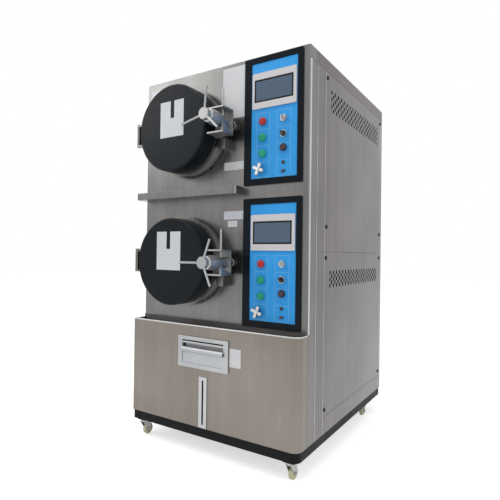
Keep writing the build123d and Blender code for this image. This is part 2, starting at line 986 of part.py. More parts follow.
def fillDrawer():
    # shallow filling tray with a rolled pull lip
    w = fillInside()
    left = w[0] + drawer_side_fit
    right = w[1] - drawer_side_fit
    low = w[2] + drawer_floor_fit
    front = ahead(base_reach + fill_flange - drawer_front_setback)
    rear = front + drawer_depth
    wall = drawer_wall
    tray = block(left, right, front, rear, low, low + drawer_height)
    tray = tray - block(left + wall, right - wall, front + wall, rear - wall, low + wall, low + drawer_height)
    face = block(left, right, front, front + wall, low, low + drawer_lip_height - drawer_lip)
    middle = low + drawer_lip_height - drawer_lip
    roll = rod(drawer_lip, (left, front + wall, middle), (right, front + wall, middle))
    inside = rod(drawer_lip - wall, (left, front + wall, middle), (right, front + wall, middle))
    behind_face = block(left, right, front + wall, front + 2 * drawer_lip, low, middle + drawer_lip)
    return joined(tray, face, roll - inside - behind_face)


def gaugeSlot():
    left = fromRight(gauge_from_right + gauge_width / 2 + gauge_slot / 2)
    low = above(gauge_low + gauge_margin)
    return left, left + gauge_slot, low, low + gauge_height - 2 * gauge_margin


def levelGauge():
    # slotted plate over the sight window of the tank
    left = fromRight(gauge_from_right + gauge_width)
    low = above(gauge_low)
    plate = block(
        left, left + gauge_width, ahead(base_reach + gauge_thickness), ahead(base_reach),
        low, low + gauge_height,
    )
    slot = gaugeSlot()
    near = ahead(base_reach + 2 * gauge_thickness)
    return plate - block(slot[0], slot[1], near, ahead(0), slot[2], slot[3])


def buttonCollar(column, row, deck):
    # bezel ring in front of the plate and threaded barrel behind it
    face = window_thickness
    outline = [
        (barrel_bore, ahead(face + collar_web)),
        (button_well, ahead(face + collar_web)),
        (button_well, ahead(face + collar_height)),
        (collar_radius - collar_web / 2, ahead(face + collar_height)),
        (collar_radius, ahead(face + collar_web)),
        (collar_radius, ahead(face)),
        (barrel_radius, ahead(face)),
        (barrel_radius, ahead(face - barrel_length)),
        (barrel_bore, ahead(face - barrel_length)),
    ]
    return turned(fromRight(column), deckHeight(row, deck), outline)


def buttonCollars():
    collars = []
    for deck in decks:
        places = [(left_column, row) for row in button_rows.values()]
        places += [(right_column, key_row), (right_column, selector_row)]
        collars += [buttonCollar(column, row, deck) for column, row in places]
    return gathered(collars)


def pushButton(row, deck):
    # capped plunger with room for its travel
    web = window_thickness + collar_web
    back = web + button_travel + button_gap
    front = window_thickness + collar_height + button_proud
    outline = [
        (0, ahead(window_thickness - barrel_length + button_travel)),
        (switch_stem, ahead(window_thickness - barrel_length + button_travel)),
        (switch_stem, ahead(back)),
        (button_radius, ahead(back)),
        (button_radius, ahead(front - button_edge)),
        (button_radius - button_edge, ahead(front)),
        (0, ahead(front)),
    ]
    return turned(fromRight(left_column), deckHeight(row, deck), outline)


def switchBase(column, row, radius, face, deck):
    web = window_thickness + collar_web + button_gap
    front = window_thickness + collar_height + face
    outline = [
        (0, ahead(window_thickness - barrel_length)),
        (switch_stem, ahead(window_thickness - barrel_length)),
        (switch_stem, ahead(web)),
        (radius, ahead(web)),
        (radius, ahead(front)),
        (0, ahead(front)),
    ]
    return turned(fromRight(column), deckHeight(row, deck), outline)


def keySwitch(deck):
    # lock cylinder with its key
    x = fromRight(right_column)
    z = deckHeight(key_row, deck)
    face = window_thickness + collar_height + key_face
    bow = block(
        x - key_thickness / 2, x + key_thickness / 2,
        ahead(face + key_length), ahead(face), z - key_width / 2, z + key_width / 2,
    )
    rounded = fillet(bow.edges().filter_by(Axis.X).group_by(Axis.Y)[0], key_width / 3)
    return switchBase(right_column, key_row, key_radius, key_face, deck) + rounded


def selector(deck):
    # rotary selector with a raised grip
    x = fromRight(right_column)
    z = deckHeight(selector_row, deck)
    face = window_thickness + collar_height + selector_face
    reach = sqrt(selector_radius**2 - (selector_grip / 2) ** 2)
    grip = Box(selector_grip, selector_height, 2 * reach)
    grip = Pos(x, ahead(face + selector_height / 2), z) * Rot(0, -selector_turn, 0) * grip
    return switchBase(right_column, selector_row, selector_radius, selector_face, deck) + grip


def panelPorts(deck):
    # buzzer, test port, service connector and valve nut, all fixed
    face = window_thickness
    buzzer = turned(
        fromRight(right_column),
        deckHeight(buzzer_row, deck),
        [
            (0, ahead(face)),
            (buzzer_radius, ahead(face)),
            (buzzer_radius, ahead(face + buzzer_height / 2)),
            (buzzer_top_radius, ahead(face + buzzer_height)),
            (0, ahead(face + buzzer_height)),
        ],
    )
    port_x = fromRight(right_column)
    z = deckHeight(port_row, deck)
    port = acrossY(port_radius, port_x, z, ahead(face), ahead(face + port_height))
    port = port - acrossY(port_bore, port_x, z, ahead(face + port_height / 3), ahead(face + 2 * port_height))
    low = deckHeight(socket_row, deck)
    connector = block(
        port_x - connector_width / 2, port_x + connector_width / 2,
        ahead(face + port_height), ahead(face), low - connector_height / 2, low + connector_height / 2,
    )
    x = fromRight(valve_column)
    stem = valve_stem + kingpin_fit
    nut = Plane((x, ahead(face), deckHeight(valve_row, deck)), x_dir=(1, 0, 0), z_dir=(0, -1, 0))
    nut = extrude(nut * (RegularPolygon(valve_nut, 6) - Circle(stem)), valve_nut_height)
    return [buzzer, port, connector, nut]


def valveKnob(deck):
    # four-lobed knob on its stem
    x = fromRight(valve_column)
    z = deckHeight(valve_row, deck)
    back = window_thickness + valve_nut_height + valve_knob_gap
    knob = acrossY(valve_hub, x, z, ahead(back), ahead(back + valve_thickness))
    lobe = SlotCenterPoint((0, 0), (valve_reach - valve_lobe, 0), 2 * valve_lobe)
    for n in range(4):
        plane = Plane((x, ahead(back), z), x_dir=(1, 0, 0), z_dir=(0, -1, 0))
        knob = knob + extrude(plane * Rot(0, 0, valve_turn + 90 * n) * lobe, valve_thickness)
    return knob + acrossY(valve_stem, x, z, ahead(-screen_body), ahead(back))


def specimenRack(deck):
    # two rails on the vessel wall, joined by cross rods
    x = fromRight(door_from_right)
    z = deckHeight(door_height, deck) - rack_drop
    bore = vessel_bore - rack_seat
    half = sqrt(bore**2 - (rack_drop + rack_rail) ** 2)
    y0 = behind(rack_front)
    y1 = behind(rack_front + rack_length)
    rails = [
        block(x + side * half, x + side * (half - rack_rail), y0, y1, z - rack_rail, z) for side in (1, -1)
    ]
    count = int(rack_length // rack_pitch)
    rods = []
    for n in range(count):
        y = y0 + rack_pitch / 2 + rack_pitch * n
        rods.append(block(x - half, x + half, y, y + rack_rod, z - rack_rod, z))
    return joined(*rails, *rods)


def heatingElement(deck):
    # bent tube on two cross supports near the bottom of the vessel
    x = fromRight(door_from_right)
    z = deckHeight(door_height, deck) - heater_drop
    y0 = behind(heater_front + heater_half)
    y1 = behind(heater_front + heater_length)
    sides = x - heater_half, x + heater_half
    legs = [rod(heater_tube, (at, y0, z), (at, y1, z)) for at in sides]
    ring = Pos(x, y0, z) * Torus(heater_half, heater_tube)
    reach = heater_half + 2 * heater_tube
    bend = ring & block(x - reach, x + reach, y0 - reach, y0, z - reach, z + reach)
    low = heater_drop + heater_tube + heater_support
    half = sqrt((vessel_bore - rack_seat) ** 2 - low**2)
    supports = []
    for y in (y0 + heater_support_width, y1 - 2 * heater_support_width):
        supports.append(
            block(
                x - half, x + half, y, y + heater_support_width,
                z - heater_tube - heater_support, z - heater_tube / 2,
            )
        )
    return joined(*legs, bend, *supports)


def waterTank():
    # feed water tank standing on the plinth
    y0 = behind(tank_front)
    z0 = above(plinth_height)
    half = tank_width / 2
    tank = block(-half, half, y0, y0 + tank_depth, z0, z0 + tank_height)
    wall = tank_wall
    inside = block(
        -half + wall, half - wall, y0 + wall, y0 + tank_depth - wall, z0 + wall, z0 + tank_height - wall
    )
    return tank - inside


def casterFork(side, along, trail):
    # swivel disc, fork and axle bolt
    x = side * (right_x - caster_inset)
    y = behind(along)
    axle_y = y + trail * caster_trail
    top = above(-caster_plate_thickness) - swivel_gap
    crown = top - swivel_height
    disc = rod(swivel_radius, (x, y, crown), (x, y, top))
    pin = rod(kingpin_radius, (x, y, crown), (x, y, above(-kingpin_head_gap)))
    inner = wheel_width / 2 + wheel_gap
    outer = inner + fork_leg
    ends = sorted((y - trail * swivel_radius, axle_y + trail * fork_leg_width / 2))
    plate = block(x - outer, x + outer, ends[0], ends[1], crown - crown_thickness, crown)
    legs = []
    for hand in (1, -1):
        shape = make_face(
            Polyline(
                (y - trail * swivel_radius, crown - crown_thickness),
                (axle_y - trail * fork_leg_width / 2, wheel_radius - axle_head),
                (axle_y + trail * fork_leg_width / 2, wheel_radius - axle_head),
                (axle_y + trail * fork_leg_width / 2, crown - crown_thickness),
                close=True,
            )
        )
        leg = extrude(Plane.YZ.offset(min(hand * inner, hand * outer) + x) * shape, fork_leg)
        legs.append(leg)
    fork = joined(disc, pin, plate, *legs)
    ends = (x - 2 * outer, axle_y, wheel_radius), (x + 2 * outer, axle_y, wheel_radius)
    fork = fork - rod(axle_radius, *ends)
    reach = outer + axle_head_height
    axle = rod(axle_radius, (x - reach, axle_y, wheel_radius), (x + reach, axle_y, wheel_radius))
    for hand in (1, -1):
        head = Plane((x + hand * outer, axle_y, wheel_radius), z_dir=(hand, 0, 0))
        axle = axle + extrude(head * RegularPolygon(axle_head, 6), axle_head_height)
    return gathered([fork, axle])


def casterWheel(side, along, trail):
    x = side * (right_x - caster_inset)
    y = behind(along) + trail * caster_trail
    half = wheel_width / 2
    outline = [
        (axle_radius + axle_fit, -half),
        (wheel_radius - wheel_edge, -half),
        (wheel_radius, -half + wheel_edge),
        (wheel_radius, -wheel_groove),
        (wheel_radius - wheel_groove, 0),
        (wheel_radius, wheel_groove),
        (wheel_radius, half - wheel_edge),
        (wheel_radius - wheel_edge, half),
        (axle_radius + axle_fit, half),
    ]
    face = make_face(Polyline(*[Vector(along_x, 0, r) for r, along_x in outline], close=True))
    return Pos(x, y, wheel_radius) * revolve(face, Axis.X)


def save(name, shape):
    export_step(shape, f"parts/{name}.step")


os.makedirs("parts", exist_ok=True)
save("plinth", plinth())
save("base_shell", baseShell())
save("front_panel", frontPanel())
save("right_side", sideFrame(1))
save("left_side", sideFrame(-1))
save("right_access_upper", accessPanel(1, "upper"))
save("right_access_lower", accessPanel(1, "lower"))
save("left_access_panels", gathered([accessPanel(-1, deck) for deck in decks]))
save("top_cover", topCover())
save("rear_panel", rearPanel())
save("panel_screws", panelScrews())
save("drip_bar", dripBar())
save("control_frames", gathered([controlFrame(deck) for deck in decks]))
save("control_plates", gathered([controlPlate(deck) for deck in decks]))
save("touch_screens", gathered([touchScreen(deck) for deck in decks]))
save("screen_glasses", gathered([screenGlass(deck) for deck in decks]))
save("door_gaskets", gathered([doorGasket(deck) for deck in decks]))
save("hinge_posts", gathered([piece for deck in decks for piece in hingePost(deck)]))
save("door_interlocks", gathered([piece for deck in decks for piece in doorInterlock(deck)]))
save("fill_frame", fillFrame())
save("level_gauge", levelGauge())
save("button_collars", buttonCollars())
save("panel_ports", gathered([piece for deck in decks for piece in panelPorts(deck)]))
save("specimen_racks", gathered([specimenRack(deck) for deck in decks]))
save("heating_elements", gathered([heatingElement(deck) for deck in decks]))
save("water_tank", waterTank())
save("rear_fittings", rearFittings())
save("fill_drawer", fillDrawer())

for deck in decks:
    save(f"pressure_vessel_{deck}", pressureVessel(deck))
    save(f"door_plate_{deck}", doorPlate(deck))
    save(f"door_cap_{deck}", doorCap(deck))
    save(f"clamp_bracket_{deck}", clampBracket(deck))
    save(f"thrust_ring_{deck}", thrustRing(deck))
    save(f"hand_nut_{deck}", handNut(deck))
    save(f"key_switch_{deck}", keySwitch(deck))
    save(f"selector_{deck}", selector(deck))
    save(f"valve_knob_{deck}", valveKnob(deck))
    for colour, row in button_rows.items():
        save(f"button_{colour}_{deck}", pushButton(row, deck))

for place, (side, along, trail) in casters.items():
    save(f"caster_fork_{place}", casterFork(side, along, trail))
    save(f"caster_wheel_{place}", casterWheel(side, along, trail))
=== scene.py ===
import bpy
import bmesh
import json
from math import cos, sin, pi, radians
from mathutils import Matrix, Vector


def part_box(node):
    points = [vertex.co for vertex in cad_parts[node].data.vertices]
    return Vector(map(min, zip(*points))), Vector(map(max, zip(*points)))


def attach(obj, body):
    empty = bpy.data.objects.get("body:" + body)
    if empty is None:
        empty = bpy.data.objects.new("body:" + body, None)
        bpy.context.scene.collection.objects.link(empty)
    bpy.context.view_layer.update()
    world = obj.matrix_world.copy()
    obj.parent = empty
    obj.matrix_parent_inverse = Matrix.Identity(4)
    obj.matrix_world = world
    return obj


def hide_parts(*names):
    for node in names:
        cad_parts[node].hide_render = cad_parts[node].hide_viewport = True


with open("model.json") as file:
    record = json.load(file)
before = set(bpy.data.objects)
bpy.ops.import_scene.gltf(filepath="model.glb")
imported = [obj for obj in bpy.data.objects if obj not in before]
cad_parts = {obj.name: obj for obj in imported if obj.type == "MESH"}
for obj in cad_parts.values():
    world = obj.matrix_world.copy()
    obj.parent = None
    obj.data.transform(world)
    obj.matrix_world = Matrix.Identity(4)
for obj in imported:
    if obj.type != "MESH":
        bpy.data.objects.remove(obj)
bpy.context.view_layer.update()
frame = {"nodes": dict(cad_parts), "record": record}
nodes = frame["nodes"]
slotOfNode = {row["node"]: row["material_slot"] for row in frame["record"]["subparts"]}
bodyOfNode = {name: body for body, names in frame["record"]["behaviour"]["bodies"].items() for name in names}
decks = ("lower", "upper")
print("frame loaded")


# camera, floor and light

cameraView = {
    "place": (1.1514, -1.9267, 0.8590), "turn": (90.54, -0.744, 32.498), "lens": 31.78, "sensor": 36,
    "clip": 100,
}
lighting = {
    "ambient": 0.52, "ambientTone": (0.97, 0.985, 1, 1),
    "floorTone": 0.80, "floorMottle": 0.98, "floorScale": 6.0, "floorDetail": 4.0,
    "floorRough": 0.9, "floorShine": 0.1, "floorGlow": 0.62, "floorSize": 30.0,
}
softBoxes = [
    # name, place, aim, width, height, watts
    ("keySoftBox", (-3.7, -2.7, 3.7), (-0.1, -0.3, 1.2), 3.2, 3.0, 92.0),
    ("fillSoftBox", (3.6, -1.6, 2.2), (0.2, 0.1, 0.9), 2.4, 2.4, 26.0),
    ("topSoftBox", (0.3, -0.7, 4.3), (0.0, -0.2, 0.9), 3.0, 2.4, 46.0),
]


def makeCamera():
    data = bpy.data.cameras.new("photoCamera")
    data.lens = cameraView["lens"]
    data.sensor_width = cameraView["sensor"]
    data.clip_end = cameraView["clip"]
    camera = bpy.data.objects.new("photoCamera", data)
    camera.location = cameraView["place"]
    camera.rotation_euler = [radians(angle) for angle in cameraView["turn"]]
    bpy.context.scene.collection.objects.link(camera)
    bpy.context.scene.camera = camera


def put(tree, kind, inputs=None, **settings):
    # adds a node, sets its properties, then fills or links its inputs
    node = tree.nodes.new(kind)
    for name, value in settings.items():
        setattr(node, name, value)
    for key, value in (inputs or {}).items():
        if isinstance(value, bpy.types.NodeSocket):
            tree.links.new(value, node.inputs[key])
        else:
            node.inputs[key].default_value = value
    return node


def backgroundRays(tree):
    # 1 where the camera, a reflection or a clear part looks at the backdrop
    path = put(tree, "ShaderNodeLightPath")
    either = put(
        tree, "ShaderNodeMath", {0: path.outputs["Is Camera Ray"], 1: path.outputs["Is Glossy Ray"]},
        operation="MAXIMUM",
    )
    return put(
        tree, "ShaderNodeMath", {0: either.outputs[0], 1: path.outputs["Is Transmission Ray"]},
        operation="MAXIMUM",
    ).outputs[0]


def makeStudio():
    world = bpy.data.worlds.new("whiteStudio")
    bpy.context.scene.world = world
    world.use_nodes = True
    tree = world.node_tree
    tree.nodes.clear()
    ambient = put(
        tree, "ShaderNodeBackground", {"Color": lighting["ambientTone"], "Strength": lighting["ambient"]},
    )
    white = put(tree, "ShaderNodeBackground", {"Color": (1, 1, 1, 1), "Strength": 1.0})
    mixed = put(
        tree, "ShaderNodeMixShader", {0: backgroundRays(tree), 1: ambient.outputs[0], 2: white.outputs[0]},
    )
    put(tree, "ShaderNodeOutputWorld", {0: mixed.outputs[0]})

    mesh = bpy.data.meshes.new("studioFloor")
    half = lighting["floorSize"] / 2
    mesh.from_pydata(
        [(-half, -half, 0), (half, -half, 0), (half, half, 0), (-half, half, 0)], [], [(0, 1, 2, 3)],
    )
    floor = bpy.data.objects.new("studioFloor", mesh)
    bpy.context.scene.collection.objects.link(floor)
    material = bpy.data.materials.new("paleFloor")
    material.use_nodes = True
    tree = material.node_tree
    tree.nodes.clear()
    pale, dim = lighting["floorTone"], lighting["floorTone"] * lighting["floorMottle"]
    speckle = put(
        tree, "ShaderNodeTexNoise", {"Scale": lighting["floorScale"], "Detail": lighting["floorDetail"]},
    )
    mottle = {0: speckle.outputs[0], 6: (pale, pale, pale, 1), 7: (dim, dim, dim, 1)}
    mixTone = put(tree, "ShaderNodeMix", mottle, data_type="RGBA")
    matte = {"Roughness": lighting["floorRough"], "Specular IOR Level": lighting["floorShine"]}
    surface = put(tree, "ShaderNodeBsdfPrincipled", {"Base Color": mixTone.outputs[2], **matte})
    glow = put(tree, "ShaderNodeEmission", {"Color": (1, 1, 1, 1), "Strength": lighting["floorGlow"]})
    lit = put(tree, "ShaderNodeAddShader", {0: surface.outputs[0], 1: glow.outputs[0]})
    mixed = put(
        tree, "ShaderNodeMixShader", {0: backgroundRays(tree), 1: surface.outputs[0], 2: lit.outputs[0]},
    )
    put(tree, "ShaderNodeOutputMaterial", {0: mixed.outputs[0]})
    mesh.materials.append(material)

    for name, place, aim, width, height, watts in softBoxes:
        data = bpy.data.lights.new(name, "AREA")
        data.shape = "RECTANGLE"
        data.size, data.size_y, data.energy = width, height, watts
        lamp = bpy.data.objects.new(name, data)
        lamp.location = place
        lamp.rotation_euler = (Vector(aim) - Vector(place)).to_track_quat("-Z", "Y").to_euler()
        bpy.context.scene.collection.objects.link(lamp)


makeCamera()
makeStudio()
bpy.context.scene.view_settings.view_transform = "Standard"
print("camera and studio ready")


# shader node groups

def shaderGroup(name, inputs, outputs):
    tree = bpy.data.node_groups.new(name, "ShaderNodeTree")
    for label, kind, value in inputs:
        socket = tree.interface.new_socket(name=label, in_out="INPUT", socket_type="NodeSocket" + kind)
        socket.default_value = value
    for label, kind in outputs:
        tree.interface.new_socket(name=label, in_out="OUTPUT", socket_type="NodeSocket" + kind)
    return tree, tree.nodes.new("NodeGroupInput").outputs, tree.nodes.new("NodeGroupOutput")


def finishGroup(tree, result, values):
    for label, socket in values.items():
        tree.links.new(socket, result.inputs[label])
    return tree


def blendTone(tree, factor, first, second, mode="MIX"):
    return put(
        tree, "ShaderNodeMix", {0: factor, 6: first, 7: second}, data_type="RGBA", blend_type=mode,
    ).outputs[2]


def ranged(tree, value, low, high, outLow=0.0, outHigh=1.0):
    names = {"Value": value, "From Min": low, "From Max": high, "To Min": outLow, "To Max": outHigh}
    return put(tree, "ShaderNodeMapRange", names).outputs[0]


def calc(tree, operation, first, second=0.0):
    return put(tree, "ShaderNodeMath", {0: first, 1: second}, operation=operation).outputs[0]


grainLook = {
    "detail": 3.0, "rough": 0.6, "bandShare": 0.035, "bandDetail": 2.0,
    "cloud": 2.6, "cloudDetail": 2.0, "cloudRough": 0.45, "low": 0.3, "high": 0.7,
}


def makeGrainGroup():
    # brushed lines along the direction with the smallest stretch, and the soft bands a mill leaves
    look = grainLook
    tree, given, result = shaderGroup(
        "brushedGrain",
        [("Stretch", "Vector", (12, 900, 900)), ("Bands", "Float", 0.5)],
        [("Lines", "Float"), ("Tone", "Float"), ("Height", "Float")],
    )
    place = put(tree, "ShaderNodeTexCoord").outputs["Object"]
    fine = put(
        tree, "ShaderNodeVectorMath", {0: place, 1: given["Stretch"]}, operation="MULTIPLY",
    ).outputs[0]
    lines = put(
        tree, "ShaderNodeTexNoise",
        {"Vector": fine, "Scale": 1.0, "Detail": look["detail"], "Roughness": look["rough"]},
    ).outputs[0]
    broad = put(
        tree, "ShaderNodeVectorMath", {0: fine, "Scale": look["bandShare"]}, operation="SCALE",
    ).outputs[0]
    bands = put(
        tree, "ShaderNodeTexNoise", {"Vector": broad, "Scale": 1.0, "Detail": look["bandDetail"]},
    ).outputs[0]
    soft = {"Scale": look["cloud"], "Detail": look["cloudDetail"], "Roughness": look["cloudRough"]}
    cloud = put(tree, "ShaderNodeTexNoise", {"Vector": place, **soft}).outputs[0]
    mixed = put(tree, "ShaderNodeMix", {0: given["Bands"], 2: cloud, 3: bands}).outputs[0]
    tone = ranged(tree, mixed, look["low"], look["high"])
    return finishGroup(tree, result, {"Lines": lines, "Tone": tone, "Height": lines})


edgeLook = {
    "samples": 6, "patch": 60.0, "patchDetail": 3.0,
    "flat": 1.0, "turned": 0.86, "patchLow": 0.35, "patchHigh": 0.65,
}


def makeEdgeGroup():
    # rounded corners for the light to catch, and a mask of where hands and cloths rub
    look = edgeLook
    tree, given, result = shaderGroup(
        "rubbedEdges",
        [("Radius", "Float", 0.0012), ("Wear", "Float", 0.5), ("Normal", "Vector", (0, 0, 0))],
        [("Mask", "Float"), ("Normal", "Vector")],
    )
    rounded = put(tree, "ShaderNodeBevel", {"Radius": given["Radius"]}, samples=look["samples"]).outputs[0]
    flat = put(tree, "ShaderNodeNewGeometry").outputs["Normal"]
    same = put(
        tree, "ShaderNodeVectorMath", {0: rounded, 1: flat}, operation="DOT_PRODUCT",
    ).outputs["Value"]
    place = put(tree, "ShaderNodeTexCoord").outputs["Object"]
    patch = put(
        tree, "ShaderNodeTexNoise",
        {"Vector": place, "Scale": look["patch"], "Detail": look["patchDetail"]},
    ).outputs[0]
    edge = ranged(tree, same, look["flat"], look["turned"])
    rubbed = calc(tree, "MULTIPLY", edge, ranged(tree, patch, look["patchLow"], look["patchHigh"]))
    mask = calc(tree, "MULTIPLY", rubbed, given["Wear"])
    return finishGroup(tree, result, {"Mask": mask, "Normal": rounded})


smudgeLook = {
    "detail": 5.0, "rough": 0.62, "swirl": 0.7, "low": 0.42, "high": 0.72,
}


def makeSmudgeGroup():
    # handling marks in soft cloudy patches
    look = smudgeLook
    tree, given, result = shaderGroup(
        "wipeMarks",
        [("Size", "Float", 9.0), ("Strength", "Float", 0.5)],
        [("Mask", "Float")],
    )
    place = put(tree, "ShaderNodeTexCoord").outputs["Object"]
    cloudy = {"Detail": look["detail"], "Roughness": look["rough"], "Distortion": look["swirl"]}
    swirl = put(tree, "ShaderNodeTexNoise", {"Vector": place, "Scale": given["Size"], **cloudy}).outputs[0]
    mask = calc(tree, "MULTIPLY", ranged(tree, swirl, look["low"], look["high"]), given["Strength"])
    return finishGroup(tree, result, {"Mask": mask})


peelLook = {"detail": 2.0, "rough": 0.4, "broad": 5.0, "broadDetail": 3.0, "low": 0.3, "high": 0.7}


def makePeelGroup():
    # the fine orange peel of paint and the grain of moulded plastic
    look = peelLook
    tree, given, result = shaderGroup(
        "paintPeel", [("Scale", "Float", 500.0)], [("Height", "Float"), ("Tone", "Float")],
    )
    place = put(tree, "ShaderNodeTexCoord").outputs["Object"]
    peel = put(
        tree, "ShaderNodeTexNoise",
        {"Vector": place, "Scale": given["Scale"], "Detail": look["detail"], "Roughness": look["rough"]},
    ).outputs[0]
    broad = put(
        tree, "ShaderNodeTexNoise",
        {"Vector": place, "Scale": look["broad"], "Detail": look["broadDetail"]},
    ).outputs[0]
    return finishGroup(
        tree, result, {"Height": peel, "Tone": ranged(tree, broad, look["low"], look["high"])},
    )


grainGroup = makeGrainGroup()
edgeGroup = makeEdgeGroup()
smudgeGroup = makeSmudgeGroup()
peelGroup = makePeelGroup()


def useGroup(tree, group, inputs):
    return put(tree, "ShaderNodeGroup", inputs, node_tree=group)


def newMaterial(name):
    material = bpy.data.materials.new(name)
    material.use_nodes = True
    tree = material.node_tree
    tree.nodes.clear()
    shader = put(tree, "ShaderNodeBsdfPrincipled")
    put(tree, "ShaderNodeOutputMaterial", {0: shader.outputs[0]})
    return material, tree, shader


def shade(value):
    # an opaque colour from three linear values
    return (*value, 1.0)


def setSurface(tree, shader, color, roughness, height, strength, distance, edge=None):
    tree.links.new(color, shader.inputs["Base Color"])
    tree.links.new(roughness, shader.inputs["Roughness"])
    bump = put(tree, "ShaderNodeBump", {"Height": height, "Strength": strength, "Distance": distance})
    if edge is not None:
        tree.links.new(edge, bump.inputs["Normal"])
    tree.links.new(bump.outputs[0], shader.inputs["Normal"])


metalLook = {
    "marksSize": 7.0, "marks": 0.6, "lineLow": 0.3, "lineHigh": 0.7, "lineDark": 0.94, "lineLight": 1.05,
    "rubbed": 1.35, "reliefDepth": 0.0004,
}


def metalMaterial(name, dark, light, rough, spread, stretch, bands=0.5, edge=0.0012, wear=0.4, depth=0.12):
    material, tree, shader = newMaterial(name)
    look = metalLook
    grain = useGroup(tree, grainGroup, {"Stretch": stretch, "Bands": bands})
    rubbed = useGroup(tree, edgeGroup, {"Radius": edge, "Wear": wear})
    marks = useGroup(tree, smudgeGroup, {"Size": look["marksSize"], "Strength": look["marks"]})
    tone = blendTone(tree, grain.outputs["Tone"], shade(dark), shade(light))
    lines = grain.outputs["Lines"]
    fine = ranged(tree, lines, look["lineLow"], look["lineHigh"], look["lineDark"], look["lineLight"])
    lined = put(tree, "ShaderNodeVectorMath", {0: tone, "Scale": fine}, operation="SCALE").outputs[0]
    bright = [min(1.0, value * look["rubbed"]) for value in light]
    color = blendTone(tree, rubbed.outputs["Mask"], lined, shade(bright))
    base = ranged(tree, lines, look["lineLow"], look["lineHigh"], rough - spread, rough + spread)
    roughness = calc(tree, "ADD", base, calc(tree, "MULTIPLY", marks.outputs["Mask"], spread))
    shader.inputs["Metallic"].default_value = 1.0
    setSurface(
        tree, shader, color, roughness, grain.outputs["Height"], depth, look["reliefDepth"],
        rubbed.outputs["Normal"],
    )
    return material


coatedLook = {
    "marksSize": 8.0, "marks": 0.7, "worn": 1.6, "wornLift": 0.01, "reliefDepth": 0.0003,
}


def coatedMaterial(
    name, dark, light, rough, spread, scale=500.0, edge=0.001, wear=0.4, worn=None, depth=0.1, level=0.5,
):
    material, tree, shader = newMaterial(name)
    look = coatedLook
    peel = useGroup(tree, peelGroup, {"Scale": scale})
    rubbed = useGroup(tree, edgeGroup, {"Radius": edge, "Wear": wear})
    marks = useGroup(tree, smudgeGroup, {"Size": look["marksSize"], "Strength": look["marks"]})
    tone = blendTone(tree, peel.outputs["Tone"], shade(dark), shade(light))
    pale = worn or [value * look["worn"] + look["wornLift"] for value in light]
    color = blendTone(tree, rubbed.outputs["Mask"], tone, shade(pale))
    roughness = ranged(tree, marks.outputs["Mask"], 0.0, look["marks"], rough - spread, rough + spread)
    shader.inputs["Specular IOR Level"].default_value = level
    setSurface(
        tree, shader, color, roughness, peel.outputs["Height"], depth, look["reliefDepth"],
        rubbed.outputs["Normal"],
    )
    return material


# grain runs along the direction with the small number
alongX = (9.0, 800.0, 800.0)
alongY = (800.0, 9.0, 800.0)
alongZ = (800.0, 800.0, 9.0)

